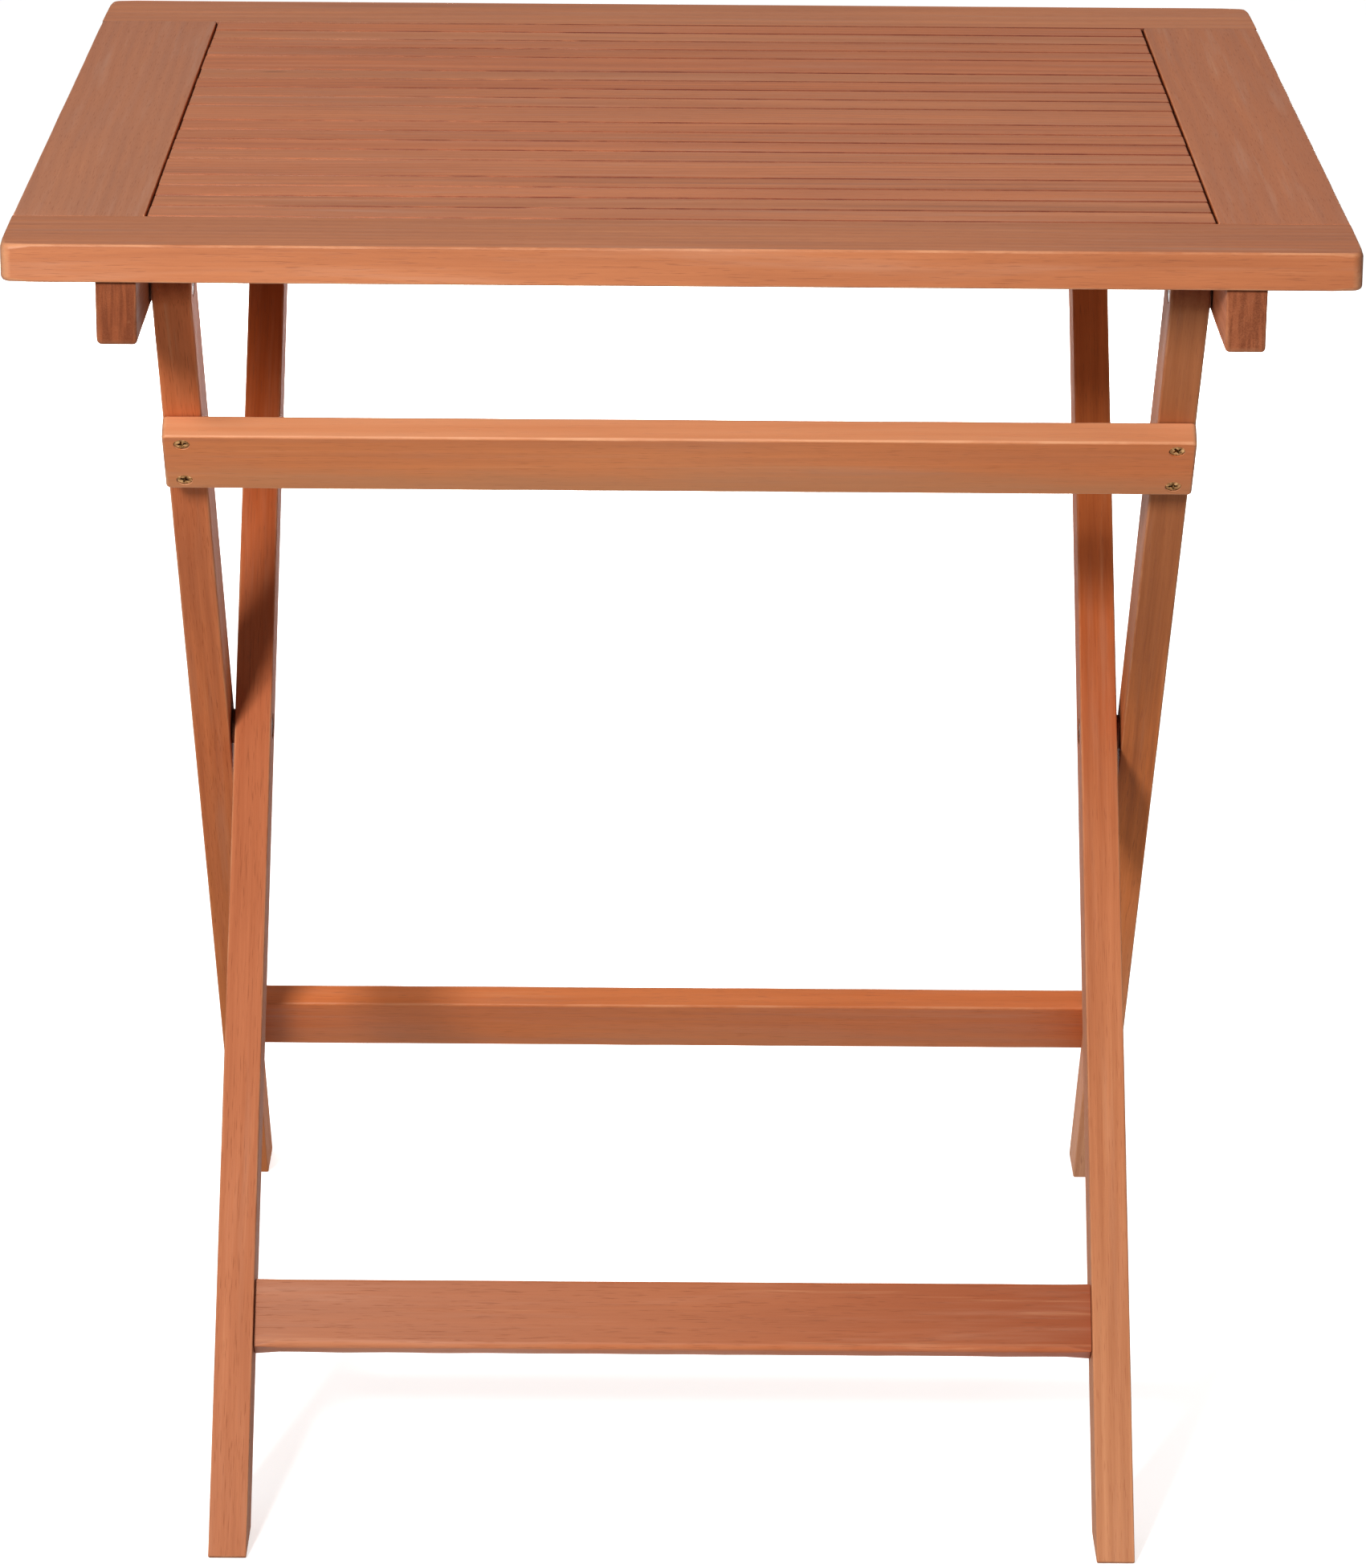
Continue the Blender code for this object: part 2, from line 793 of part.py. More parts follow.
LEG_MID = OUTER_X - LEG_T / 2.0
for side, word in ((-1, "left"), (1, "right")):
    for spot, s in (("top", SCREW_INSET), ("low", RAIL_W - SCREW_INSET)):
        rail_screw(
            "upper_screw_%s_%s" % (word, spot),
            side * LEG_MID,
            UPPER_RAIL_S + s,
            -FACE - RAIL_T,
            1.0,
            upper_rail,
            outer_legs[side],
        )
        rail_screw(
            "lower_screw_%s_%s" % (word, spot),
            side * LEG_MID,
            LOWER_RAIL_S + s,
            FACE + RAIL_T,
            -1.0,
            lower_rail,
            outer_legs[side],
        )
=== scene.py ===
import json
import math
import random

import bmesh
import bpy
from mathutils import Matrix, Vector, noise


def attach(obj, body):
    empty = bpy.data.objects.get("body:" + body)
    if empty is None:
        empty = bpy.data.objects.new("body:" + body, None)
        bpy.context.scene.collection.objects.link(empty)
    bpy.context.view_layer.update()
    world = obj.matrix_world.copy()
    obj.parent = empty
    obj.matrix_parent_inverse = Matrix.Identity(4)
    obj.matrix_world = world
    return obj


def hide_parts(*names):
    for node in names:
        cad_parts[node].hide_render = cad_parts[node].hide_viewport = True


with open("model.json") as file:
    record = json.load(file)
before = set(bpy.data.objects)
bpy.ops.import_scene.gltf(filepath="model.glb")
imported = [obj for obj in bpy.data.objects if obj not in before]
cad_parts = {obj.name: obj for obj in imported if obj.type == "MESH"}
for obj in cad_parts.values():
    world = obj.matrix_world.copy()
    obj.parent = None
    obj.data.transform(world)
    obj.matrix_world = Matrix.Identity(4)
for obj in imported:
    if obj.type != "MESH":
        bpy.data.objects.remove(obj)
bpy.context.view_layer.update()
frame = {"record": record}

MM = 0.001

# ------------------------------------------------------------------ dimensions
TOP_H = 745.0
TOP_T = 20.0
HALF_W = 350.0
HALF_D = 350.0
BOARD_W = 70.0
END_W = 69.0
END_GAP = 2.0
SLAT_GAP = 2.4
NARROW_N = 4
GROUPS = 4
WIDE_SHARE = 1.69
TONGUE_T = 7.0
TONGUE_L = 10.0
FIT = 0.3
BATTEN_T = 21.0
BATTEN_H = 34.2
BATTEN_SETBACK = 5.0
BATTEN_IN = 280.5
LEG_T = 21.0
LEG_W = 34.0
OUTER_X = 279.0
LEG_GAP = 2.5
LEAN = math.radians(38.3)
PIVOT_Z = TOP_H - 42.0
OUTER_TOP_Y = -249.5
INNER_TOP_Y = 257.0
RAIL_W = 46.5
BOTTOM_RAIL_W = 39.4
RAIL_T = 14.5
UPPER_RAIL_S = 92.4
LOWER_RAIL_S = 735.8
BOTTOM_RAIL_S = 746.6
BOTTOM_RAIL_RECESS = 5.0
TENON_L = 11.0
TENON_INSET = 2.5
BAR_R = 11.0
BAR_TENON_R = 7.0
CLEAT_W = 20.0
CLEAT_X = 205.0
BOLT_R = 4.0
BOLT_HEAD_R = 7.5
SCREW_R = 2.1
SCREW_HEAD_R = 4.2
SCREW_L = 34.0
SCREW_INSET = 7.6
EDGE = 1.5
SOFT = 0.8

HALF_SPAN = (INNER_TOP_Y - OUTER_TOP_Y) / 2.0
CROSS_Y = (INNER_TOP_Y + OUTER_TOP_Y) / 2.0
CROSS_Z = PIVOT_Z - HALF_SPAN / math.tan(LEAN)
OUTER_IN = OUTER_X - LEG_T
INNER_X = OUTER_IN - LEG_GAP
INNER_IN = INNER_X - LEG_T
UNDER_Z = TOP_H - TOP_T
MID_Z = TOP_H - TOP_T / 2.0

X_AXIS = Vector((1.0, 0.0, 0.0))
Y_AXIS = Vector((0.0, 1.0, 0.0))
Z_AXIS = Vector((0.0, 0.0, 1.0))
TOP_AXIS = Vector((0.0, OUTER_TOP_Y, PIVOT_Z))
BAR_AXIS = Vector((0.0, INNER_TOP_Y, PIVOT_Z))
CROSS_AXIS = Vector((0.0, CROSS_Y, CROSS_Z))
OUTER_DOWN = Vector((0.0, math.sin(LEAN), -math.cos(LEAN)))
OUTER_OUT = Vector((0.0, math.cos(LEAN), math.sin(LEAN)))
INNER_DOWN = Vector((0.0, -math.sin(LEAN), -math.cos(LEAN)))
INNER_OUT = Vector((0.0, math.cos(LEAN), -math.sin(LEAN)))

SIDES = (("left", -1.0), ("right", 1.0))

NODE_BODY = {
    node: body
    for body, members in frame["record"]["behaviour"]["bodies"].items()
    for node in members
}

pieces = []


def dice(name):
    return random.Random("folding table " + name)


# -------------------------------------------------------------------- geometry
def outline(corners, step):
    """Counter-clockwise corners (u, v, plan radius, edge rounding) to a dense
    closed outline of (point, outward direction, edge rounding, crease)."""
    count = len(corners)
    pts = [Vector((c[0], c[1])) for c in corners]
    runs = []
    for i, (_, _, radius, ease) in enumerate(corners):
        p = pts[i]
        d1 = (p - pts[i - 1]).normalized()
        d2 = (pts[(i + 1) % count] - p).normalized()
        n1 = Vector((d1.y, -d1.x))
        n2 = Vector((d2.y, -d2.x))
        turn = math.atan2(d1.x * d2.y - d1.y * d2.x, d1.dot(d2))
        run = []
        if radius > 0.0 and turn > 0.0:
            reach = radius * math.tan(turn / 2.0)
            centre = p - d1 * reach - n1 * radius
            parts = 12 if radius > 10.0 else 5
            for k in range(parts + 1):
                t = turn * k / parts
                nrm = Vector((
                    n1.x * math.cos(t) - n1.y * math.sin(t),
                    n1.x * math.sin(t) + n1.y * math.cos(t),
                ))
                bend = math.sin(math.pi * k / parts) if radius < 10.0 else 0.0
                run.append((centre + nrm * radius, nrm, ease, bend))
        else:
            run.append((p.copy(), (n1 + n2) / (1.0 + n1.dot(n2)), ease, min(1.0, abs(turn))))
        runs.append((run, n2))
    ring = []
    for i, (run, nrm) in enumerate(runs):
        ring.extend(run)
        a, b = run[-1], runs[(i + 1) % count][0][0]
        length = (b[0] - a[0]).length
        if length < 0.05:
            ring.pop()
            continue
        cuts = max(1, round(length / step))
        for k in range(1, cuts):
            t = k / cuts
            ring.append((a[0].lerp(b[0], t), nrm.copy(), a[2] + (b[2] - a[2]) * t, 0.0))
    return ring


def place(u, v, w, origin):
    """Matrix that puts local axes on u, v, w at a point given in millimetres."""
    m = Matrix.Identity(4)
    for col, axis in enumerate((u, v, w)):
        for row in range(3):
            m[row][col] = axis[row]
    m.translation = origin * MM
    return m


def new_object(name, bm, matrix):
    mesh = bpy.data.meshes.new(name)
    bm.to_mesh(mesh)
    bm.free()
    obj = bpy.data.objects.new(name, mesh)
    obj.matrix_world = matrix
    bpy.context.scene.collection.objects.link(obj)
    return obj


def plate(name, corners, thick, matrix, step=12.0, wobble=0.12):
    """Board with its grain along local X: an outline with every edge eased by a
    hand-sanded round, the round a little uneven along its length."""
    chance = dice(name)
    seat = Vector([chance.uniform(-40.0, 40.0) for _ in range(3)])
    ring = outline(corners, step)
    arc = [math.radians(d) for d in (0.0, 18.0, 36.0, 54.0, 72.0, 90.0)]
    bm = bmesh.new()
    wear = bm.verts.layers.float.new("wear")
    endg = bm.verts.layers.float.new("endg")
    rim = bm.verts.layers.float.new("rim")
    levels = [(-1.0, t) for t in reversed(arc)] + [(1.0, t) for t in arc]
    loops = [[] for _ in levels]
    for p, n, ease, bend in ring:
        q = Vector((p.x * 0.035, p.y * 0.035, 0.0)) + seat
        back = wobble * 0.5 * (1.0 + noise.noise(q * 1.7))
        for k, (side, t) in enumerate(levels):
            uneven = 1.0 + 0.30 * noise.noise(q + Vector((0.0, 0.0, 7.3 * side)))
            e = min(ease * uneven, thick * 0.45)
            inset = e * (1.0 - math.cos(t)) + back
            vert = bm.verts.new((
                (p.x - n.x * inset) * MM,
                (p.y - n.y * inset) * MM,
                side * (thick / 2.0 - e * (1.0 - math.sin(t))) * MM,
            ))
            vert[wear] = max(math.sin(2.0 * t), bend * math.cos(t)) if ease > 0.45 else 0.0
            vert[endg] = min(1.0, abs(n.x)) ** 2 * math.cos(t)
            vert[rim] = min(1.0, abs(n.y)) ** 2 * math.cos(t)
            loops[k].append(vert)
    count = len(ring)
    for low, high in zip(loops, loops[1:]):
        for i in range(count):
            j = (i + 1) % count
            bm.faces.new((low[i], low[j], high[j], high[i]))
    bm.faces.new(list(reversed(loops[0])))
    bm.faces.new(loops[-1])
    return new_object(name, bm, matrix)


def brick(lo, hi, matrix=None):
    """Plain cutter block between two corners in millimetres."""
    bm = bmesh.new()
    bmesh.ops.create_cube(bm, size=1.0)
    for vert in bm.verts:
        vert.co = Vector([(lo[i] + (vert.co[i] + 0.5) * (hi[i] - lo[i])) * MM for i in range(3)])
    return new_object("cutter", bm, matrix or Matrix.Identity(4))


def spin(profile, steps, twist=0.0):
    """Closed body of revolution about local X from (radius, distance) pairs."""
    bm = bmesh.new()
    rings = []
    for radius, dist in profile:
        if radius <= 0.0:
            rings.append([bm.verts.new((dist * MM, 0.0, 0.0))])
        else:
            rings.append([
                bm.verts.new((
                    dist * MM,
                    radius * MM * math.cos(2.0 * math.pi * k / steps + twist),
                    radius * MM * math.sin(2.0 * math.pi * k / steps + twist),
                ))
                for k in range(steps)
            ])
    for one, two in zip(rings, rings[1:]):
        for k in range(steps):
            n = (k + 1) % steps
            if len(one) == 1:
                bm.faces.new((one[0], two[k], two[n]))
            elif len(two) == 1:
                bm.faces.new((one[k], one[n], two[0]))
            else:
                bm.faces.new((one[k], one[n], two[n], two[k]))
    for ring in (rings[0], rings[-1]):
        if len(ring) > 1:
            bm.faces.new(ring)
    bmesh.ops.recalc_face_normals(bm, faces=bm.faces)
    return bm


def tube(profile, steps):
    """Ring-shaped body about local X from a closed (radius, distance) profile."""
    bm = bmesh.new()
    rings = [
        [
            bm.verts.new((
                dist * MM,
                radius * MM * math.cos(2.0 * math.pi * k / steps),
                radius * MM * math.sin(2.0 * math.pi * k / steps),
            ))
            for k in range(steps)
        ]
        for radius, dist in profile
    ]
    for one, two in zip(rings, rings[1:] + rings[:1]):
        for k in range(steps):
            n = (k + 1) % steps
            bm.faces.new((one[k], one[n], two[n], two[k]))
    bmesh.ops.recalc_face_normals(bm, faces=bm.faces)
    return bm


def about(axis, origin):
    """Matrix with local X along an axis at a point in millimetres."""
    u = axis.normalized()
    ref = Z_AXIS if abs(u.z) < 0.9 else Y_AXIS
    w = (ref - u * ref.dot(u)).normalized()
    v = w.cross(u)
    return place(u, v, w, origin)


def carve(obj, cuts=(), joins=()):
    """Cut away or join helper bodies for good, keeping one clean mesh."""
    for helper, kind in [(c, "DIFFERENCE") for c in cuts] + [(j, "UNION") for j in joins]:
        mod = obj.modifiers.new(kind.lower(), "BOOLEAN")
        mod.operation = kind
        mod.solver = "EXACT"
        mod.object = helper
    bpy.context.view_layer.update()
    graph = bpy.context.evaluated_depsgraph_get()
    mesh = bpy.data.meshes.new_from_object(obj.evaluated_get(graph))
    obj.modifiers.clear()
    old = obj.data
    obj.data = mesh
    bpy.data.meshes.remove(old)
    mesh.name = obj.name
    for helper in list(cuts) + list(joins):
        data = helper.data
        bpy.data.objects.remove(helper)
        bpy.data.meshes.remove(data)
    return obj


def settle(obj, node, mat, soft=True):
    """Give a piece its material and shading, and let it stand for its CAD node.

    The mesh is moved into the shared frame; the axes of its stock, with the grain
    along X, are kept in its own material."""
    bpy.context.view_layer.update()
    if soft:
        back = obj.matrix_world.inverted()
        axes = mat.node_tree.nodes["stock_axes"]
        axes.inputs["Location"].default_value = back.translation
        axes.inputs["Rotation"].default_value = back.to_euler("XYZ")
    obj.data.transform(obj.matrix_world)
    obj.matrix_world = Matrix.Identity(4)
    obj.data.materials.clear()
    obj.data.materials.append(mat)
    obj.data.shade_smooth()
    if soft:
        mod = obj.modifiers.new("shading", "WEIGHTED_NORMAL")
        mod.mode = "FACE_AREA"
        mod.weight = 50
        mod.keep_sharp = False
    else:
        obj.data.set_sharp_from_angle(angle=math.radians(32.0))
    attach(obj, NODE_BODY[node])
    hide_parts(node)
    pieces.append(obj)
    return obj


# ------------------------------------------------------------------- materials
class Graph:
    """Small helper to write node materials."""

    def __init__(self, name):
        self.mat = bpy.data.materials.new(name)
        self.mat.use_nodes = True
        self.tree = self.mat.node_tree
        self.tree.nodes.clear()
        self.out = self.tree.nodes.new("ShaderNodeOutputMaterial")
        self.shader = self.tree.nodes.new("ShaderNodeBsdfPrincipled")
        self.link(self.shader.outputs["BSDF"], self.out.inputs["Surface"])
        coords = self.tree.nodes.new("ShaderNodeTexCoord")
        axes = self.tree.nodes.new("ShaderNodeMapping")
        axes.name = "stock_axes"
        self.link(coords.outputs["Object"], axes.inputs["Vector"])
        self.local = axes.outputs["Vector"]

    def link(self, a, b):
        self.tree.links.new(a, b)

    def feed(self, socket, value):
        if isinstance(value, bpy.types.NodeSocket):
            self.link(value, socket)
        else:
            socket.default_value = value

    def mapping(self, vec, scale=(1, 1, 1), loc=(0, 0, 0), rot=(0, 0, 0)):
        n = self.tree.nodes.new("ShaderNodeMapping")
        self.link(vec, n.inputs["Vector"])
        n.inputs["Location"].default_value = loc
        n.inputs["Rotation"].default_value = rot
        n.inputs["Scale"].default_value = scale
        return n.outputs["Vector"]

    def noise(self, vec, scale=1.0, detail=2.0, rough=0.5, distort=0.0):
        n = self.tree.nodes.new("ShaderNodeTexNoise")
        self.link(vec, n.inputs["Vector"])
        n.inputs["Scale"].default_value = scale
        n.inputs["Detail"].default_value = detail
        n.inputs["Roughness"].default_value = rough
        n.inputs["Distortion"].default_value = distort
        return n.outputs["Fac"], n.outputs["Color"]

    def math(self, op, a, b=0.0, c=0.0, clamp=False):
        n = self.tree.nodes.new("ShaderNodeMath")
        n.operation = op
        n.use_clamp = clamp
        for sock, val in zip(n.inputs, (a, b, c)):
            self.feed(sock, val)
        return n.outputs[0]

    def vmath(self, op, a, b):
        n = self.tree.nodes.new("ShaderNodeVectorMath")
        n.operation = op
        self.feed(n.inputs[0], a)
        self.feed(n.inputs[1], b)
        return n.outputs[0]

    def span(self, value, lo, hi, to_lo=0.0, to_hi=1.0, smooth=True):
        n = self.tree.nodes.new("ShaderNodeMapRange")
        n.interpolation_type = "SMOOTHSTEP" if smooth else "LINEAR"
        self.link(value, n.inputs["Value"])
        n.inputs["From Min"].default_value = lo
        n.inputs["From Max"].default_value = hi
        n.inputs["To Min"].default_value = to_lo
        n.inputs["To Max"].default_value = to_hi
        return n.outputs["Result"]

    def mix(self, fac, a, b, blend="MIX"):
        n = self.tree.nodes.new("ShaderNodeMix")
        n.data_type = "RGBA"
        n.blend_type = blend
        self.feed(n.inputs[0], fac)
        for sock, val in ((n.inputs[6], a), (n.inputs[7], b)):
            self.feed(sock, val if isinstance(val, bpy.types.NodeSocket) else (*val, 1.0))
        return n.outputs[2]

    def ramp(self, fac, stops):
        n = self.tree.nodes.new("ShaderNodeValToRGB")
        self.link(fac, n.inputs["Fac"])
        el = n.color_ramp.elements
        while len(el) < len(stops):
            el.new(0.5)
        for e, (pos, col) in zip(el, stops):
            e.position = pos
            e.color = (*col, 1.0)
        return n.outputs["Color"]

    def wave(self, vec, scale):
        n = self.tree.nodes.new("ShaderNodeTexWave")
        n.wave_type = "RINGS"
        n.rings_direction = "X"
        n.wave_profile = "SIN"
        self.link(vec, n.inputs["Vector"])
        n.inputs["Scale"].default_value = scale
        n.inputs["Distortion"].default_value = 0.0
        n.inputs["Detail"].default_value = 0.0
        return n.outputs["Fac"]

    def attribute(self, name):
        n = self.tree.nodes.new("ShaderNodeAttribute")
        n.attribute_type = "GEOMETRY"
        n.attribute_name = name
        return n.outputs["Fac"]

    def bump(self, height, strength, distance):
        n = self.tree.nodes.new("ShaderNodeBump")
        n.inputs["Strength"].default_value = strength
        n.inputs["Distance"].default_value = distance
        self.link(height, n.inputs["Height"])
        return n.outputs["Normal"]


def scaled(col, f):
    return tuple(min(0.95, c * k) for c, k in zip(col, f))


def wood(name, tone, contrast=1.0, streak=0.3, wear=0.6, rings=1.0, ring_mm=7.0, specks=0.0,
         grey=0.25, rough=0.5, rim=0.0, groove=0.0, shade=0.0, spec=0.42, narrow=None, one_side=False,
         gap_wall_light=None):
    """Oiled reddish hardwood with the grain along local X, different on every piece."""
    chance = dice("grain " + name)
    tone_and_light = STOCK_TONE_AND_LIGHT.get(name)
    if tone_and_light:
        most = [max(f[i] for _, f in tone_and_light) for i in range(3)]
        tone = scaled(tone, most)
        lo, hi = tone_and_light[0][0], tone_and_light[-1][0]
        stops = [((at - lo) / (hi - lo), tuple(c / m for c, m in zip(f, most))) for at, f in tone_and_light]
    g = Graph("wood_" + name)
    shift = tuple(chance.uniform(-3.0, 3.0) for _ in range(3))
    tilt = (
        chance.uniform(0.0, 6.28),
        math.radians(chance.uniform(-1.3, 1.3)),
        math.radians(chance.uniform(-1.3, 1.3)),
    )
    raw = g.local
    seat = g.mapping(raw, loc=shift)

    # slow wander of the growth rings along the piece
    _, wander = g.noise(g.mapping(seat, scale=(3.2, 16.0, 16.0)), detail=2.0, rough=0.45)
    drift = g.vmath("MULTIPLY", g.vmath("SUBTRACT", wander, (0.5, 0.5, 0.5)), (0.0, 0.013, 0.013))
    grain = g.vmath("ADD", raw, drift)
    pith = g.mapping(
        grain, rot=tilt,
        loc=(0.0, chance.choice((-1, 1)) * chance.uniform(0.05, 0.11), chance.uniform(-0.02, 0.02)),
    )
    ring = g.wave(pith, 0.314 / (ring_mm * MM))
    coarse, _ = g.noise(g.mapping(g.vmath("ADD", seat, drift), scale=(4.5, 210.0, 210.0)), detail=4.0, rough=0.55)
    fibre, _ = g.noise(g.mapping(seat, scale=(16.0, 900.0, 900.0)), detail=3.0, rough=0.6)
    pore_n, _ = g.noise(g.mapping(seat, scale=(75.0, 1900.0, 1900.0)), detail=1.0, rough=0.5)
    broad, _ = g.noise(g.mapping(seat, scale=(2.3, 24.0, 24.0)), detail=2.0, rough=0.5)
    cloud, _ = g.noise(g.mapping(seat, scale=(9.0, 34.0, 34.0)), detail=3.0, rough=0.6)
    sheen, _ = g.noise(g.mapping(g.vmath("ADD", seat, drift), scale=(6.0, 120.0, 120.0), loc=(1.7, 0.4, 0.9)), detail=3.0, rough=0.6)

    value = g.math("MULTIPLY_ADD", g.math("SUBTRACT", ring, 0.5), 0.20 * rings, 0.5)
    for layer, amount in ((coarse, 0.75), (fibre, 0.55), (broad, 0.85), (cloud, 0.35)):
        value = g.math("MULTIPLY_ADD", g.math("SUBTRACT", layer, 0.5), amount * contrast, value)
    c = contrast
    colour = g.ramp(value, [
        (0.0, scaled(tone, (1 - 0.42 * c, 1 - 0.50 * c, 1 - 0.54 * c))),
        (0.36, scaled(tone, (1 - 0.10 * c, 1 - 0.13 * c, 1 - 0.15 * c))),
        (0.60, scaled(tone, (1 + 0.06 * c, 1 + 0.08 * c, 1 + 0.09 * c))),
        (1.0, scaled(tone, (1 + 0.34 * c, 1 + 0.48 * c, 1 + 0.58 * c))),
    ])
    if tone_and_light:
        # the colour drifts along the length: partly the stock, partly painted light and shade
        along = g.tree.nodes.new("ShaderNodeSeparateXYZ")
        g.link(raw, along.inputs[0])
        way = g.math("MULTIPLY_ADD", g.math("SUBTRACT", coarse, 0.5), 0.25 * (hi - lo) * MM, along.outputs[0])
        way = g.span(way, lo * MM, hi * MM, smooth=False)
        colour = g.mix(1.0, colour, g.ramp(way, stops), "MULTIPLY")
    pores = g.span(pore_n, 0.60, 0.74)
    colour = g.mix(g.math("MULTIPLY", pores, 0.42), colour, scaled(tone, (0.52, 0.42, 0.38)))
    # greyish pink streaks along the grain: partly the bloom of the oil, partly a painted sheen
    bloom_and_sheen = g.math("MULTIPLY", g.span(sheen, 0.50, 0.80), grey)
    colour = g.mix(bloom_and_sheen, colour, (0.52, 0.27, 0.175))
    # thin pale streaks
    pale = g.math("MULTIPLY", g.span(coarse, 0.62, 0.78), streak)
    colour = g.mix(pale, colour, (0.66, 0.36, 0.20))
    if shade > 0.0:
        # the lower half of the face is mixed towards a greyish brown
        lower = g.tree.nodes.new("ShaderNodeSeparateXYZ")
        g.link(raw, lower.inputs[0])
        level = g.math("MULTIPLY_ADD", g.math("SUBTRACT", cloud, 0.5), 0.030, lower.outputs[1])
        colour = g.mix(g.span(level, -0.020, 0.004, shade, 0.0), colour, (0.42, 0.215, 0.105))
    # end grain drinks more oil
    end = g.attribute("endg")
    dots, _ = g.noise(g.mapping(seat, scale=(500.0, 1500.0, 1500.0)), detail=2.0, rough=0.6)
    end_mix = g.math("MULTIPLY", end, g.span(dots, 0.30, 0.75, 0.70, 0.95))
    layers, _ = g.noise(g.mapping(seat, scale=(20.0, 30.0, 380.0)), detail=2.0, rough=0.5)
    layers = g.span(layers, 0.40, 0.60)
    end_tone = g.mix(layers, scaled(tone, (0.33, 0.265, 0.24)), scaled(tone, (0.51, 0.45, 0.42)))
    colour = g.mix(end_mix, colour, end_tone)
    if rim > 0.0:
        # painted sheen: the narrow faces are paled towards a light orange as if they reflected the light above
        narrow_face_sheen = g.math("MULTIPLY", g.attribute("rim"), g.span(coarse, 0.25, 0.75, 0.7 * rim, rim))
        colour = g.mix(narrow_face_sheen, colour, (0.62, 0.31, 0.17))
    # painted light and shade: the colour of the narrow faces is scaled, lifted where a factor is above one, darkened
    # where it is below
    if narrow:
        colour = g.mix(g.attribute("rim"), colour, narrow, "MULTIPLY")
    if gap_wall_light:
        # painted light: the wall on the local +Y side, towards the slats across the end gap, is lifted and warmed as
        # by light bounced into the gap
        gap_wall_side = g.tree.nodes.new("ShaderNodeSeparateXYZ")
        g.link(raw, gap_wall_side.inputs[0])
        facing = g.math("GREATER_THAN", gap_wall_side.outputs[1], 0.0)
        facing = g.math("MULTIPLY", facing, g.span(g.attribute("rim"), 0.40, 0.90))
        colour = g.mix(facing, colour, gap_wall_light, "MULTIPLY")
    # sanded edges
    rub, _ = g.noise(g.mapping(seat, scale=(26.0, 60.0, 60.0)), detail=4.0, rough=0.65)
    edge = g.math("MULTIPLY", g.attribute("wear"), g.span(rub, 0.36, 0.64, 0.12, 1.0))
    edge = g.math("MULTIPLY", edge, wear)
    if groove > 0.0:
        # painted shade: the walls of the narrow gaps are darkened in broken lengths, most towards the right end;
        # towards the left end the pale edges are kept as painted highlights, towards the right they are taken away
        across = g.tree.nodes.new("ShaderNodeSeparateXYZ")
        g.link(raw, across.inputs[0])
        stretch = g.math("MULTIPLY_ADD", g.math("SUBTRACT", rub, 0.5), 0.35, across.outputs[0])
        right_hand = g.span(stretch, -0.27, 0.0)
        painted_gap_shade = g.span(g.attribute("rim"), 0.10, 0.50)
        whole = g.math("MAXIMUM", g.span(rub, 0.34, 0.60, 0.40, 1.0), g.math("MULTIPLY", right_hand, 0.8))
        painted_gap_shade = g.math("MULTIPLY", painted_gap_shade, g.math("MULTIPLY", whole, groove))
        painted_gap_shade = g.math("MULTIPLY", painted_gap_shade, g.math("MULTIPLY_ADD", right_hand, 0.25, 0.75))
        if one_side:
            # only the face towards the slats
            painted_gap_shade = g.math("MULTIPLY", painted_gap_shade, g.math("LESS_THAN", across.outputs[1], 0.0))
        colour = g.mix(painted_gap_shade, colour, scaled(tone, (0.34, 0.17, 0.11)))
        edge = g.math("MULTIPLY", edge, g.math("MULTIPLY_ADD", right_hand, -0.92, 1.0))
    colour = g.mix(edge, colour, (0.74, 0.43, 0.25))
    if specks > 0.0:
        cell = g.tree.nodes.new("ShaderNodeTexVoronoi")
        cell.feature = "F1"
        g.link(g.mapping(seat, scale=(11.0, 60.0, 60.0)), cell.inputs["Vector"])
        cell.inputs["Scale"].default_value = 1.0
        pick = g.tree.nodes.new("ShaderNodeSeparateColor")
        g.link(cell.outputs["Color"], pick.inputs[0])
        chosen = g.math("GREATER_THAN", pick.outputs[0], 1.0 - specks)
        knot = g.math("MULTIPLY", chosen, g.span(cell.outputs["Distance"], 0.05, 0.12, 1.0, 0.0))
        colour = g.mix(g.math("MULTIPLY", knot, 0.6), colour, scaled(tone, (0.40, 0.30, 0.25)))
        core = g.math("MULTIPLY", chosen, g.span(cell.outputs["Distance"], 0.015, 0.04, 1.0, 0.0))
        colour = g.mix(g.math("MULTIPLY", core, 0.7), colour, (0.62, 0.40, 0.26))
    g.link(colour, g.shader.inputs["Base Color"])

    r = g.math("MULTIPLY_ADD", g.math("SUBTRACT", coarse, 0.5), 0.35, rough)
    r = g.math("MULTIPLY_ADD", pores, 0.12, r)
    r = g.math("MULTIPLY_ADD", g.math("SUBTRACT", cloud, 0.5), 0.22, r)
    r = g.math("MULTIPLY_ADD", end, 0.15, r, clamp=True)
    g.link(r, g.shader.inputs["Roughness"])
    g.shader.inputs["Specular IOR Level"].default_value = spec

    height = g.math("MULTIPLY_ADD", coarse, 0.9, g.math("MULTIPLY", fibre, 0.8))
    height = g.math("MULTIPLY_ADD", pores, -0.55, height)
    height = g.math("MULTIPLY_ADD", ring, 0.12, height)
    g.link(g.bump(height, 0.55, 0.00012), g.shader.inputs["Normal"])
    return g.mat


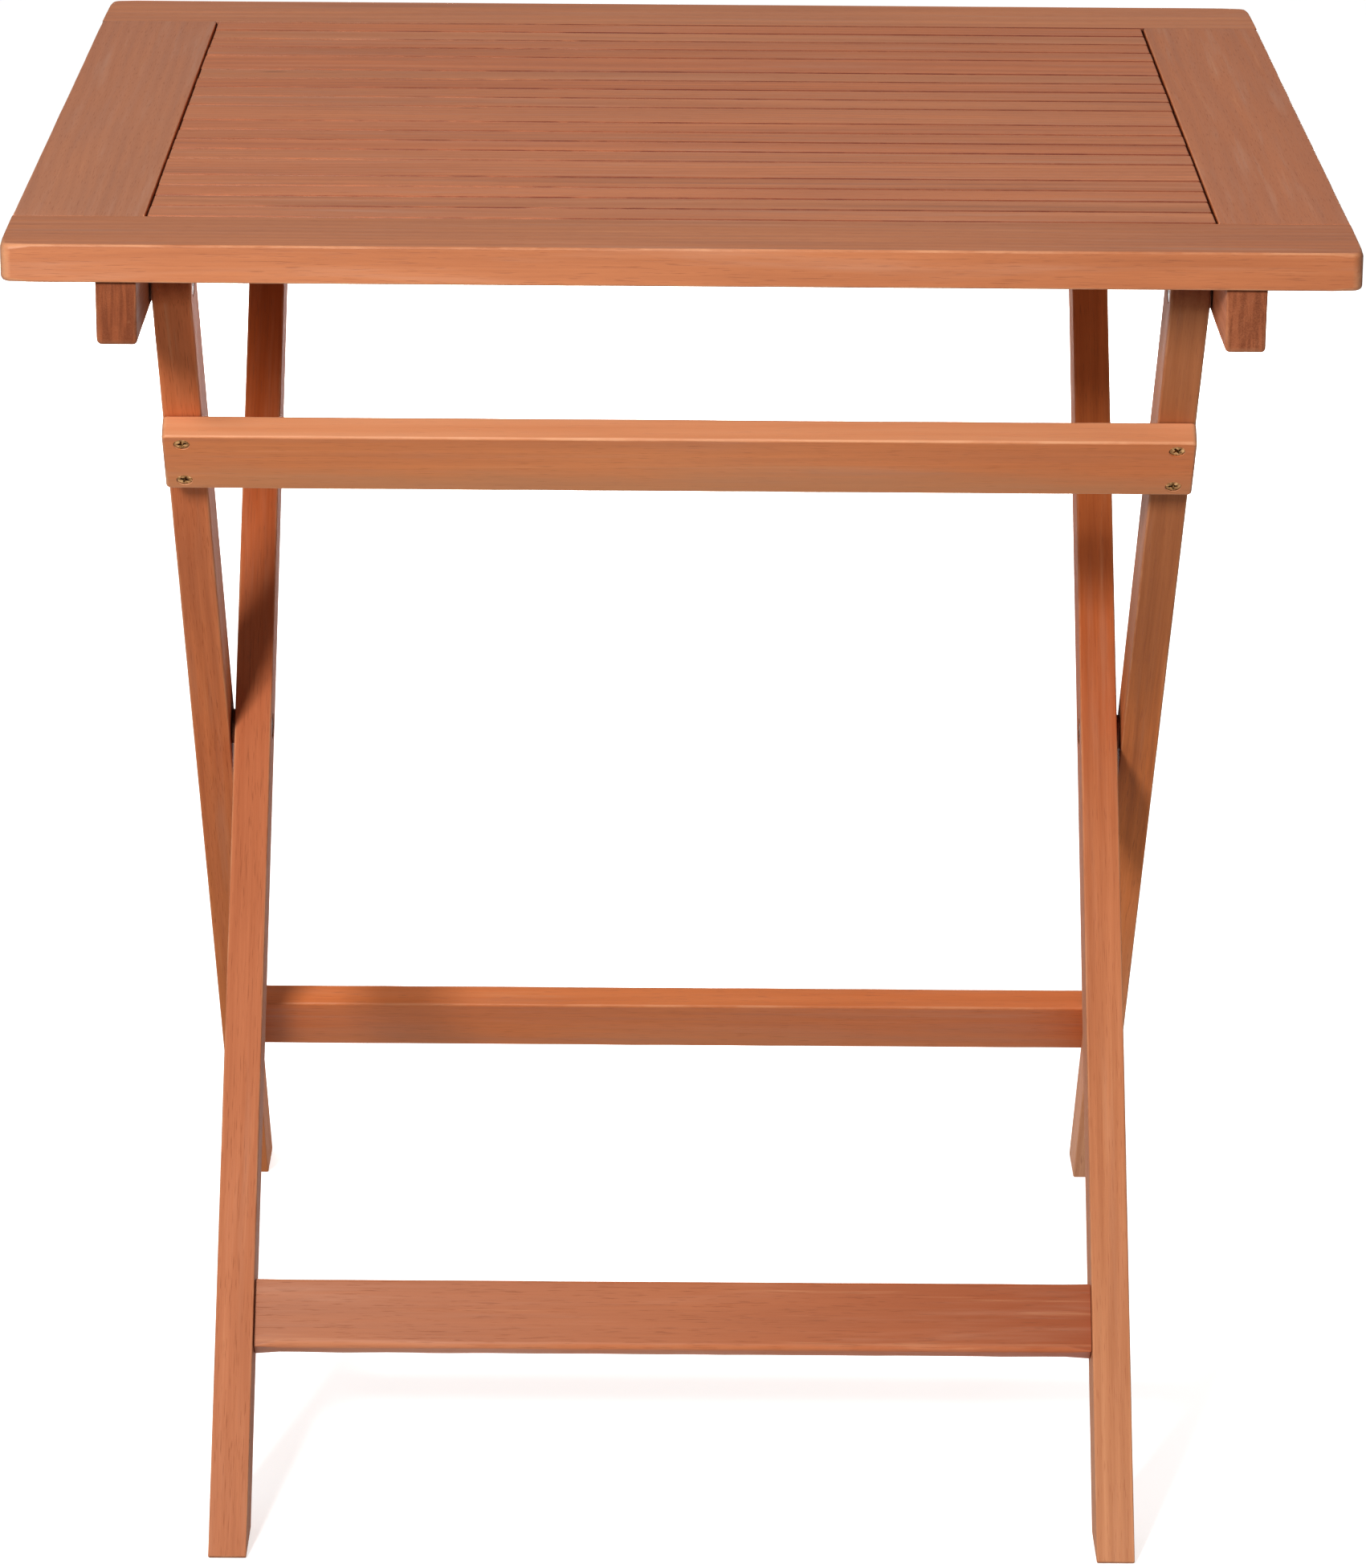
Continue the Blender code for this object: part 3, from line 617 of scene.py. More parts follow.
def plated(name, base, deep, bright, rough):
    """Plated steel: tarnish in patches, fine wear scratches."""
    chance = dice("metal " + name)
    g = Graph("metal_" + name)
    seat = g.mapping(g.local, loc=tuple(chance.uniform(-2.0, 2.0) for _ in range(3)))
    patch, _ = g.noise(seat, scale=420.0, detail=4.0, rough=0.6)
    fine, _ = g.noise(g.mapping(seat, scale=(900.0, 900.0, 5200.0)), detail=3.0, rough=0.6)
    colour = g.ramp(patch, [(0.28, deep), (0.52, base), (0.78, bright)])
    colour = g.mix(g.span(fine, 0.55, 0.8, 0.0, 0.35), colour, bright)
    g.link(colour, g.shader.inputs["Base Color"])
    r = g.math("MULTIPLY_ADD", g.math("SUBTRACT", patch, 0.5), 0.35, rough)
    r = g.math("MULTIPLY_ADD", g.math("SUBTRACT", fine, 0.5), 0.20, r, clamp=True)
    g.link(r, g.shader.inputs["Roughness"])
    g.shader.inputs["Metallic"].default_value = 1.0
    g.link(g.bump(fine, 0.25, 0.00004), g.shader.inputs["Normal"])
    return g.mat


# base tones, linear
TOP_TONE = (0.480, 0.165, 0.065)
RAIL_TONE = (0.540, 0.180, 0.066)
LEG_TONE = (0.492, 0.160, 0.059)


# how single pieces differ from the common tone, factors at distances along local X:
# partly the drift of the stock, partly painted shade and painted light over the legs, rails and boards
STOCK_TONE_AND_LIGHT = {
    "front_board": ((-300, (0.92, 0.96, 0.97)), (0, (0.94, 0.99, 1.00)), (300, (0.92, 0.92, 0.89))),
    "back_board": ((-300, (1.08, 1.18, 1.29)), (300, (1.08, 1.18, 1.27))),
    "end_board_left": ((-250, (1.00, 1.09, 1.27)), (250, (0.92, 1.04, 1.22))),
    "end_board_right": ((-250, (0.97, 0.97, 0.98)), (250, (1.00, 1.00, 1.01))),
    "inner_leg_left": ((180, (0.85, 0.63, 0.43)), (440, (0.89, 0.95, 1.15)), (865, (0.93, 1.16, 1.60))),
    "inner_leg_right": (
        (180, (1.28, 1.25, 1.04)), (345, (0.93, 0.83, 0.74)), (485, (1.05, 1.22, 1.50)), (865, (1.06, 1.48, 2.05)),
    ),
    "outer_leg_left": (
        (10, (1.32, 1.29, 1.32)), (215, (1.02, 1.08, 1.26)), (420, (1.27, 1.36, 1.46)), (880, (1.17, 1.30, 1.22)),
    ),
    "outer_leg_right": (
        (10, (0.93, 1.14, 1.33)), (310, (0.90, 1.02, 1.07)), (500, (1.45, 1.55, 1.35)), (880, (1.30, 1.98, 3.05)),
    ),
    "upper_rail": ((-260, (1.03, 1.08, 1.00)), (0, (1.04, 1.15, 1.16)), (260, (1.02, 1.00, 0.88))),
    "lower_rail": ((-260, (1.08, 0.93, 0.56)), (0, (1.07, 1.02, 0.77)), (260, (1.01, 0.84, 0.52))),
    "bottom_rail": ((-220, (0.76, 0.91, 1.22)), (0, (0.77, 0.81, 0.88)), (220, (0.61, 0.48, 0.38))),
    "batten_left": ((-340, (0.72, 0.80, 1.01)), (340, (0.90, 0.95, 1.05))),
    "batten_right": ((-340, (1.05, 1.17, 1.43)), (340, (1.06, 1.15, 1.35))),
}


def tint(tone, name, spread=0.05, warm=0.03):
    chance = dice("tint " + name)
    k = 1.0 + chance.uniform(-spread, spread)
    w = chance.uniform(-warm, warm)
    return (tone[0] * k * (1.0 + w * 0.3), tone[1] * k * (1.0 - w), tone[2] * k * (1.0 - 2.0 * w))


# -------------------------------------------------------------------- the top
def cross_board(name, y, outer):
    """Full-width board; outer is the sign of its outward side."""
    half, side = BOARD_W / 2.0, HALF_W
    # the free corners are rounded off more than the edges
    inn = (1.0, 0.5)
    ease = EDGE - 0.2
    low = [(-side, -half + 16.0, 0.0, ease), (-side, -half, 6.0, 2.6), (-side + 16.0, -half, 0.0, ease),
           (side - 16.0, -half, 0.0, ease), (side, -half, 6.0, 2.6), (side, -half + 16.0, 0.0, ease)]
    corners = low + [(side, half, *inn), (-side, half, *inn)]
    if outer > 0:
        corners = [(-u, -v, radius, eased) for u, v, radius, eased in corners]
    obj = plate(name, corners, TOP_T, place(X_AXIS, Y_AXIS, Z_AXIS, Vector((0.0, y, MID_Z))))
    # groove darkens the back board's wall towards the slats with painted shade; narrow darkens the narrow faces a
    # little as painted shade
    return settle(obj, name, wood(name, tint(TOP_TONE, name, 0.02), contrast=0.75, streak=0.18, grey=0.35, wear=0.4, rings=0.7, specks=0.02,
                                 narrow=(0.92, 0.93, 0.92), groove=0.85 if outer > 0 else 0.0, one_side=outer > 0))


cross_board("front_board", -HALF_D + BOARD_W / 2.0, -1)
cross_board("back_board", HALF_D - BOARD_W / 2.0, 1)


def end_board(name, side):
    long = HALF_D - BOARD_W - FIT / 2.0
    half = END_W / 2.0
    # local X along the grain, local Y towards the slats; sawn square at both ends
    v = -X_AXIS if side > 0 else X_AXIS
    u = Y_AXIS if side > 0 else -Y_AXIS
    spare = long + 8.0
    corners = [
        (-spare, -half, 3.3, EDGE - 0.2), (spare, -half, 3.3, EDGE - 0.2),
        (spare, half, 1.5, SOFT), (-spare, half, 1.5, SOFT),
    ]
    x_mid = side * (HALF_W - half)
    obj = plate(name, corners, TOP_T, place(u, v, Z_AXIS, Vector((x_mid, 0.0, MID_Z))))
    x_in = HALF_W - END_W
    groove = TONGUE_L - END_GAP + FIT
    z_half = TONGUE_T / 2.0 + FIT
    xs = sorted((side * (x_in - 3.0), side * (x_in + groove)))
    wide = sorted((side * (x_in - 9.0), side * (HALF_W + 9.0)))
    carve(obj, cuts=[
        brick((xs[0], -spare - 3.0, MID_Z - z_half), (xs[1], spare + 3.0, MID_Z + z_half)),
        brick((wide[0], long, UNDER_Z - 9.0), (wide[1], long + 30.0, TOP_H + 9.0)),
        brick((wide[0], -long - 30.0, UNDER_Z - 9.0), (wide[1], -long, TOP_H + 9.0)),
    ])
    # the end boards' walls towards the slats get painted light
    return settle(obj, name, wood(name, tint(TOP_TONE, name, 0.02), contrast=0.55, streak=0.22, grey=0.5, wear=0.3, rings=0.6, specks=0.02,
                                 gap_wall_light=(1.2, 1.08, 0.9) if side > 0 else (1.85, 1.38, 0.95)))


for label, side in SIDES:
    end_board("end_board_" + label, side)

FIELD = 2.0 * HALF_D - 2.0 * BOARD_W
SLATS = GROUPS * NARROW_N + GROUPS - 1
NARROW_W = (FIELD - (SLATS + 1) * SLAT_GAP) / (GROUPS * NARROW_N + (GROUPS - 1) * WIDE_SHARE)


def slat(name, y0, y1):
    half_l = HALF_W - END_W - END_GAP
    half_w = (y1 - y0) / 2.0
    y = (y0 + y1) / 2.0
    r = (1.5, SOFT)
    # the slats are cut by hand: their ends stand a little unevenly in the gap
    ends = [half_l + dice("end %s %d" % (name, k)).uniform(0.45, 0.85) for k in (0, 1)]
    corners = [(-ends[0], -half_w, *r), (ends[1], -half_w, *r), (ends[1], half_w, *r), (-ends[0], half_w, *r)]
    obj = plate(name, corners, TOP_T, place(X_AXIS, Y_AXIS, Z_AXIS, Vector((0.0, y, MID_Z))))
    tongues = []
    for sign in (-1.0, 1.0):
        xs = sorted((sign * (half_l - 6.0), sign * (half_l + TONGUE_L)))
        tongues.append(brick(
            (xs[0], y0 + 1.0, MID_Z - TONGUE_T / 2.0), (xs[1], y1 - 1.0, MID_Z + TONGUE_T / 2.0)))
    carve(obj, joins=tongues)
    chance = dice("slat " + name)
    # groove sets the painted shade in the gaps between the slats and keeps painted edge highlights towards the left
    # end
    return settle(obj, name, wood(
        name, tint(scaled(TOP_TONE, (1.035, 1.065, 1.105)), name, 0.035, 0.05), contrast=chance.uniform(0.6, 0.9),
        streak=chance.uniform(0.05, 0.25), grey=chance.uniform(0.15, 0.55), wear=chance.uniform(0.02, 0.34), groove=chance.uniform(0.7, 1.0),
        ring_mm=chance.uniform(5.0, 9.0), specks=0.015))


edge_y = -HALF_D + BOARD_W + SLAT_GAP
for number in range(1, SLATS + 1):
    width = NARROW_W * (WIDE_SHARE if number % (NARROW_N + 1) == 0 else 1.0)
    slat("slat_%02d" % number, edge_y, edge_y + width)
    edge_y += width + SLAT_GAP


def hex_prism(af, depth, matrix):
    """Six-sided cutter along local X from 0 to depth."""
    return new_object("cutter", spin([(af / math.sqrt(3.0), 0.0), (af / math.sqrt(3.0), depth)], 6), matrix)


def drill(radius, x0, x1, axis_point, steps=48):
    """Round cutter along X between two x positions."""
    return new_object(
        "cutter", spin([(radius, x0), (radius, x1)], steps),
        place(X_AXIS, Y_AXIS, Z_AXIS, Vector((0.0, axis_point.y, axis_point.z))))


def countersink(radius, shank, face_x, side, depth, axis_point, clear=0.35):
    """Cone cutter sunk into a face at face_x, opening towards side."""
    r = radius + clear
    profile = [
        (r, side * (face_x + 1.5)), (r, side * face_x), (r, side * (face_x - 0.75)),
        (shank + clear, side * (face_x - 0.75 - (r - shank - clear))), (shank + clear, side * (face_x - depth)),
    ]
    if side < 0:
        profile.reverse()
    return new_object(
        "cutter", spin(profile, 48),
        place(X_AXIS, Y_AXIS, Z_AXIS, Vector((0.0, axis_point.y, axis_point.z))))


def batten(name, side):
    long = HALF_D - BATTEN_SETBACK
    half = (BATTEN_H - FIT) / 2.0
    low = (3.4, EDGE + 0.9)
    high = (0.9, 0.6)
    corners = [(-long, -half, *low), (long, -half, *low), (long, half, *high), (-long, half, *high)]
    z = UNDER_Z - FIT - half
    x = side * (BATTEN_IN + BATTEN_T / 2.0)
    obj = plate(name, corners, BATTEN_T, place(Y_AXIS, Z_AXIS, X_AXIS, Vector((x, 0.0, z))))
    carve(obj, cuts=[drill(BOLT_R + FIT, side * (BATTEN_IN - 3.0), side * (BATTEN_IN + BATTEN_T + 3.0), TOP_AXIS)])
    return settle(obj, name, wood(name, tint(LEG_TONE, name, 0.03), wear=0.15, streak=0.4, rough=0.58, spec=0.15))


for label, side in SIDES:
    batten("batten_" + label, side)


def cleat(name, side):
    back, foot, strip, stop = 318.0, 692.0, 714.4, 268.4
    top = UNDER_Z - FIT
    soft = (1.3, 0.9)
    corners = [
        (-150.0, top, *soft), (-150.0, strip + 5.0, *soft), (-144.0, strip, *soft),
        (stop, strip, 0.0, 0.9), (stop, foot, *soft), (back - 14.0, foot, *soft),
        (back, strip, *soft), (back, top, *soft),
    ]
    obj = plate(name, corners, CLEAT_W, place(Y_AXIS, Z_AXIS, X_AXIS, Vector((side * CLEAT_X, 0.0, 0.0))))
    return settle(obj, name, wood(name, tint(LEG_TONE, name, 0.05), wear=0.4))


for label, side in SIDES:
    cleat("catch_cleat_" + label, side)


# ------------------------------------------------------------------- leg frames
def leg(name, x_in, side, axis, down, out, tilt, cuts, mat):
    half = LEG_W / 2.0

    def foot(o):
        return (PIVOT_Z + tilt * o * math.sin(LEAN)) / math.cos(LEAN)

    corners = [
        (-half, -half, half, EDGE), (foot(-half), -half, 1.2, 0.8),
        (foot(half), half, 1.2, 0.8), (-half, half, half, EDGE),
    ]
    x = side * (x_in + LEG_T / 2.0)
    obj = plate(name, corners, LEG_T, place(down, out, X_AXIS, Vector((x, axis.y, axis.z))))
    carve(obj, cuts=cuts)
    return settle(obj, name, mat)


def outer_point(x, s, o):
    return Vector((x, TOP_AXIS.y, TOP_AXIS.z)) + OUTER_DOWN * s + OUTER_OUT * o


def inner_point(x, s, o):
    return Vector((x, BAR_AXIS.y, BAR_AXIS.z)) + INNER_DOWN * s + INNER_OUT * o


SCREW_X = OUTER_X - LEG_T / 2.0
SCREWS = []
for label, side in SIDES:
    for kind, s0, face in (
        ("upper", UPPER_RAIL_S, -(LEG_W / 2.0 + FIT + RAIL_T)),
        ("lower", LOWER_RAIL_S, LEG_W / 2.0 + FIT + RAIL_T),
    ):
        for spot, s in (("top", s0 + SCREW_INSET), ("low", s0 + RAIL_W - SCREW_INSET)):
            axis = OUTER_OUT if face < 0 else -OUTER_OUT
            SCREWS.append((
                "%s_screw_%s_%s" % (kind, label, spot), kind, label,
                outer_point(side * SCREW_X, s, face), axis, s))


def screw_holes(keep):
    cuts = []
    for name, kind, label, point, axis, s in SCREWS:
        if not keep(kind, label):
            continue
        r = SCREW_HEAD_R + 0.3
        profile = [
            (r, -1.5), (r, 0.9), (SCREW_R + 0.3, 0.9 + r - SCREW_R - 0.3), (SCREW_R + 0.3, SCREW_L + 0.8)]
        cuts.append(new_object("cutter", spin(profile, 40), about(axis, point)))
    return cuts


for label, side in SIDES:
    cuts = [
        countersink(BOLT_HEAD_R, BOLT_R, -OUTER_IN, -side, 26.0, TOP_AXIS),
        countersink(BOLT_HEAD_R, BOLT_R, OUTER_X, side, 26.0, CROSS_AXIS),
    ] + screw_holes(lambda kind, lab, want=label: lab == want)
    leg("outer_leg_" + label, OUTER_IN, side, TOP_AXIS, OUTER_DOWN, OUTER_OUT, 1.0, cuts,
        wood("outer_leg_" + label, tint(LEG_TONE, "outer_leg_" + label, 0.02), contrast=0.8, rings=0.6, wear=0.35,
             grey=0.3, specks=0.06, rough=0.58, spec=0.1))

BOTTOM_O0 = -LEG_W / 2.0 + BOTTOM_RAIL_RECESS
for label, side in SIDES:
    xs = sorted((side * (INNER_IN - 3.0), side * (INNER_IN + TENON_L + FIT)))
    mortise = brick(
        (xs[0], -BOTTOM_RAIL_W / 2.0 + TENON_INSET - FIT, -RAIL_T / 2.0 + TENON_INSET - FIT),
        (xs[1], BOTTOM_RAIL_W / 2.0 - TENON_INSET + FIT, RAIL_T / 2.0 - TENON_INSET + FIT),
        place(X_AXIS, -INNER_DOWN, -INNER_OUT,
              inner_point(0.0, BOTTOM_RAIL_S + BOTTOM_RAIL_W / 2.0, BOTTOM_O0 + RAIL_T / 2.0)))
    cuts = [
        drill(BAR_TENON_R + FIT, side * (INNER_IN - 3.0), side * (INNER_IN + TENON_L + FIT), BAR_AXIS),
        drill(BOLT_R + FIT, side * (INNER_IN - 3.0), side * (INNER_X + 3.0), CROSS_AXIS),
        drill(7.8, side * (INNER_IN - 3.0), side * (INNER_IN + 6.4), CROSS_AXIS),
        mortise,
    ]
    leg("inner_leg_" + label, INNER_IN, side, BAR_AXIS, INNER_DOWN, INNER_OUT, -1.0, cuts,
        wood("inner_leg_" + label, tint(LEG_TONE, "inner_leg_" + label, 0.02), contrast=0.8, rings=0.6, wear=0.35,
             grey=0.3, specks=0.08, rough=0.58, spec=0.1))


def rail(name, half_l, width, centre, v, w, cuts, mat, tenon=0.0, low_ease=EDGE):
    half = width / 2.0
    # a tenoned rail is cut square at its shoulders
    soft = (0.9, 0.5) if tenon else (2.6, EDGE)
    inner = half_l - 14.0
    corners = [
        (-half_l, -half, *soft), (-inner, -half, 0.0, low_ease), (inner, -half, 0.0, low_ease), (half_l, -half, *soft),
        (half_l, half, *soft), (inner, half, 0.0, EDGE), (-inner, half, 0.0, EDGE), (-half_l, half, *soft),
    ]
    matrix = place(X_AXIS, v, w, centre)
    obj = plate(name, corners, RAIL_T, matrix)
    joins = []
    if tenon:
        for sign in (-1.0, 1.0):
            xs = sorted((sign * (half_l - 6.0), sign * (half_l + tenon)))
            joins.append(brick(
                (xs[0], -half + TENON_INSET, -RAIL_T / 2.0 + TENON_INSET),
                (xs[1], half - TENON_INSET, RAIL_T / 2.0 - TENON_INSET), matrix))
    carve(obj, cuts=cuts, joins=joins)
    return settle(obj, name, mat)


O_MID = LEG_W / 2.0 + FIT + RAIL_T / 2.0
rail("upper_rail", OUTER_X, RAIL_W, outer_point(0.0, UPPER_RAIL_S + RAIL_W / 2.0, -O_MID), -OUTER_DOWN, -OUTER_OUT,
     screw_holes(lambda kind, lab: kind == "upper"),
     wood("upper_rail", tint(RAIL_TONE, "upper_rail", 0.01), contrast=0.7, rings=0.35, wear=0.5, grey=0.3,
          specks=0.03, rim=0.85, shade=0.45))
rail("lower_rail", OUTER_X, RAIL_W, outer_point(0.0, LOWER_RAIL_S + RAIL_W / 2.0, O_MID), -OUTER_DOWN, -OUTER_OUT,
     screw_holes(lambda kind, lab: kind == "lower"),
     wood("lower_rail", tint(RAIL_TONE, "lower_rail", 0.01), contrast=0.7, rings=0.35, wear=0.28, grey=0.3,
          specks=0.03, rim=0.25, shade=0.2))
rail("bottom_rail", INNER_IN - 0.05, BOTTOM_RAIL_W,
     inner_point(0.0, BOTTOM_RAIL_S + BOTTOM_RAIL_W / 2.0, BOTTOM_O0 + RAIL_T / 2.0), -INNER_DOWN, -INNER_OUT, [],
     # narrow lifts the rail's narrow faces with painted light
     wood("bottom_rail", tint(RAIL_TONE, "bottom_rail", 0.01), contrast=0.58, rings=0.3, wear=0.12, grey=0.3,
          specks=0.03, narrow=(1.4, 1.36, 1.3)),
     tenon=TENON_L, low_ease=3.8)


def crossbar(name):
    end = INNER_IN - FIT
    tip = end + TENON_L + FIT
    half = [(BAR_TENON_R - 0.8, tip), (BAR_TENON_R, tip - 0.8), (BAR_TENON_R, end), (BAR_R - 0.9, end)]
    half += [(BAR_R - 0.3, end - 0.25), (BAR_R, end - 0.9)]
    stations = [end - 0.9 - k * (2.0 * (end - 0.9)) / 40 for k in range(1, 40)]
    body = [(BAR_R - 0.06 * (1.0 + noise.noise(Vector((x * 0.02, 3.1, 0.4)))) * 0.5, x) for x in stations]
    profile = half + body + [(r, -x) for r, x in reversed(half)]
    obj = new_object(name, spin(profile, 64), place(X_AXIS, Y_AXIS, Z_AXIS, BAR_AXIS))
    return settle(obj, name, wood(name, tint(LEG_TONE, name, 0.03), wear=0.0))


crossbar("crossbar")

# --------------------------------------------------------------------- hardware
ZINC = plated("zinc", (0.36, 0.35, 0.34), (0.24, 0.23, 0.22), (0.52, 0.51, 0.50), 0.42)
YELLOW = plated("yellow_zinc", (0.30, 0.165, 0.066), (0.075, 0.040, 0.016), (0.80, 0.54, 0.29), 0.24)
# the washers between the timbers get a dull brown plating
DULL = plated("dull_zinc", (0.28, 0.115, 0.068), (0.16, 0.066, 0.040), (0.38, 0.19, 0.12), 0.60)


def screw(name, point, axis, s):
    """Countersunk cross-head screw, its head flush in the rail."""
    profile = [
        (0.0, 0.30), (2.6, 0.27), (3.7, 0.25), (4.08, 0.30), (SCREW_HEAD_R, 0.48), (SCREW_HEAD_R - 0.06, 0.68),
        (SCREW_R + 0.25, 2.35), (SCREW_R, 2.75),
        (SCREW_R, SCREW_L - 7.0), (1.5, SCREW_L - 4.0), (0.7, SCREW_L - 1.2), (0.0, SCREW_L - 0.2),
    ]
    matrix = about(axis, point + axis.normalized() * 0.45)
    obj = new_object(name, spin(profile, 48), matrix)
    turn = 0.35 + 0.8 * (point.x * 0.01 + s * 0.02)
    spun = matrix @ Matrix.Rotation(turn, 4, "X")
    arms = []
    for quarter in (0.0, math.pi / 2.0):
        arm = bmesh.new()
        top, low = (2.45, 0.62), (1.1, 0.34)
        ring_top = [arm.verts.new((-0.6 * MM, a * top[0] * MM, b * top[1] * MM)) for a, b in ((-1, -1), (1, -1), (1, 1), (-1, 1))]
        ring_mid = [arm.verts.new((0.45 * MM, a * top[0] * MM, b * top[1] * 0.9 * MM)) for a, b in ((-1, -1), (1, -1), (1, 1), (-1, 1))]
        ring_low = [arm.verts.new((2.1 * MM, a * low[0] * MM, b * low[1] * MM)) for a, b in ((-1, -1), (1, -1), (1, 1), (-1, 1))]
        arm.faces.new(ring_top)
        arm.faces.new(list(reversed(ring_low)))
        for one, two in ((ring_top, ring_mid), (ring_mid, ring_low)):
            for k in range(4):
                n = (k + 1) % 4
                arm.faces.new((one[k], one[n], two[n], two[k]))
        bmesh.ops.recalc_face_normals(arm, faces=arm.faces)
        arms.append(new_object("cutter", arm, spun @ Matrix.Rotation(quarter, 4, "X")))
    pit = new_object("cutter", spin([(1.25, -0.6), (1.25, 0.4), (0.75, 1.9)], 24), spun)
    carve(obj, cuts=arms + [pit])
    return settle(obj, name, YELLOW, soft=False)


for name, kind, label, point, axis, s in SCREWS:
    screw(name, point, axis, s)


def bolt(name, x_head, x_tip, axis_point):
    """Countersunk bolt with a six-sided driver recess, along X from its head."""
    way = 1.0 if x_tip > x_head else -1.0
    length = abs(x_tip - x_head)
    r = BOLT_HEAD_R
    profile = [
        (0.0, 0.0), (r - 0.55, 0.0), (r - 0.12, 0.12), (r, 0.40), (r - 0.15, 0.62),
        (BOLT_R + 0.2, r - BOLT_R + 0.42), (BOLT_R, r - BOLT_R + 0.75),
        (BOLT_R, length - 9.0),
    ]
    x = length - 9.0
    while x < length - 1.4:
        profile += [(BOLT_R, x + 0.15), (BOLT_R - 0.45, x + 0.55), (BOLT_R, x + 0.95)]
        x += 1.1
    profile += [(BOLT_R - 0.3, length - 0.5), (BOLT_R - 0.9, length - 0.05), (0.0, length - 0.05)]
    matrix = place(
        X_AXIS * way, Y_AXIS, Z_AXIS * way, Vector((x_head, axis_point.y, axis_point.z)))
    obj = new_object(name, spin(profile, 48), matrix)
    socket = hex_prism(4.5, 3.6, matrix @ Matrix.Translation((-0.001, 0.0, 0.0)))
    carve(obj, cuts=[socket])
    return settle(obj, name, ZINC, soft=False)


def washer(name, x0, x1, axis_point, r_in, r_out):
    t = abs(x1 - x0)
    c = min(0.22, t * 0.25)
    profile = [
        (r_in, c), (r_in + c, 0.0), (r_out - c, 0.0), (r_out - c * 0.3, c * 0.3), (r_out, c),
        (r_out, t - c), (r_out - c * 0.3, t - c * 0.3), (r_out - c, t), (r_in + c, t), (r_in, t - c),
    ]
    obj = new_object(
        name, tube(profile, 64),
        place(X_AXIS, Y_AXIS, Z_AXIS, Vector((min(x0, x1), axis_point.y, axis_point.z))))
    return settle(obj, name, DULL, soft=False)


def nut(name, x0, x1, axis_point, bore):
    """Hexagon nut with chamfered corners and a bevelled, ribbed bore."""
    lo, t = min(x0, x1), abs(x1 - x0)
    corner = 13.0 / math.sqrt(3.0)
    matrix = place(X_AXIS, Y_AXIS, Z_AXIS, Vector((lo, axis_point.y, axis_point.z)))
    obj = new_object(name, spin([(corner, 0.0), (corner, t)], 6), matrix)
    round_off = new_object("cutter", spin([
        (6.15, -0.01), (corner + 0.35, 1.05), (corner + 0.35, t - 1.05), (6.15, t + 0.01)], 72), matrix)
    mod = obj.modifiers.new("round", "BOOLEAN")
    mod.operation = "INTERSECT"
    mod.solver = "EXACT"
    mod.object = round_off
    profile = [(bore + 0.75, -0.5), (bore + 0.75, 0.0), (bore, 0.75)]
    x = 0.75
    while x < t - 1.6:
        profile += [(bore + 0.28, x + 0.45), (bore, x + 0.9)]
        x += 0.9
    profile += [(bore, t - 0.75), (bore + 0.75, t), (bore + 0.75, t + 0.5)]
    cutter = new_object("cutter", spin(profile, 48), matrix)
    carve(obj, cuts=[cutter])
    data = round_off.data
    bpy.data.objects.remove(round_off)
    bpy.data.meshes.remove(data)
    return settle(obj, name, ZINC, soft=False)


for label, side in SIDES:
    bolt("top_bolt_" + label, side * (OUTER_IN + 0.3), side * (BATTEN_IN + BATTEN_T + 7.0), TOP_AXIS)
    washer("top_washer_" + label, side * (OUTER_X + FIT), side * (BATTEN_IN - FIT), TOP_AXIS, BOLT_R + FIT, 10.0)
    nut("top_nut_" + label, side * (BATTEN_IN + BATTEN_T + FIT), side * (BATTEN_IN + BATTEN_T + FIT + 5.5),
        TOP_AXIS, BOLT_R + FIT)
    bolt("cross_bolt_" + label, side * (OUTER_X - 0.3), side * (INNER_IN + 0.8), CROSS_AXIS)
    washer("cross_washer_" + label, side * (INNER_X + FIT), side * (OUTER_IN - FIT), CROSS_AXIS, BOLT_R + FIT, 10.0)
    nut("cross_nut_" + label, side * (INNER_IN + 0.6), side * (INNER_IN + 6.1), CROSS_AXIS, BOLT_R + FIT)


# ------------------------------------------------------------ floor and lights
def floor():
    bm = bmesh.new()
    half = 60.0
    cells = 8
    grid = [
        [bm.verts.new((-half + 2.0 * half * i / cells, -half + 2.0 * half * j / cells, -0.0004)) for j in range(cells + 1)]
        for i in range(cells + 1)
    ]
    for i in range(cells):
        for j in range(cells):
            bm.faces.new((grid[i][j], grid[i + 1][j], grid[i + 1][j + 1], grid[i][j + 1]))
    obj = new_object("studio_floor", bm, Matrix.Identity(4))
    g = Graph("studio_white")
    soft, _ = g.noise(g.local, scale=1.3, detail=2.0)
    g.link(g.ramp(soft, [(0.3, (0.88, 0.88, 0.88)), (0.7, (0.93, 0.93, 0.93))]), g.shader.inputs["Base Color"])
    g.link(g.span(soft, 0.3, 0.7, 0.75, 0.85), g.shader.inputs["Roughness"])
    g.shader.inputs["Specular IOR Level"].default_value = 0.1
    g.shader.inputs["Emission Color"].default_value = (1.0, 1.0, 1.0, 1.0)
    g.shader.inputs["Emission Strength"].default_value = 0.60
    obj.data.materials.append(g.mat)
    # the floor reads white like a studio sweep without washing out the underside
    obj.visible_diffuse = False
    return obj


floor()


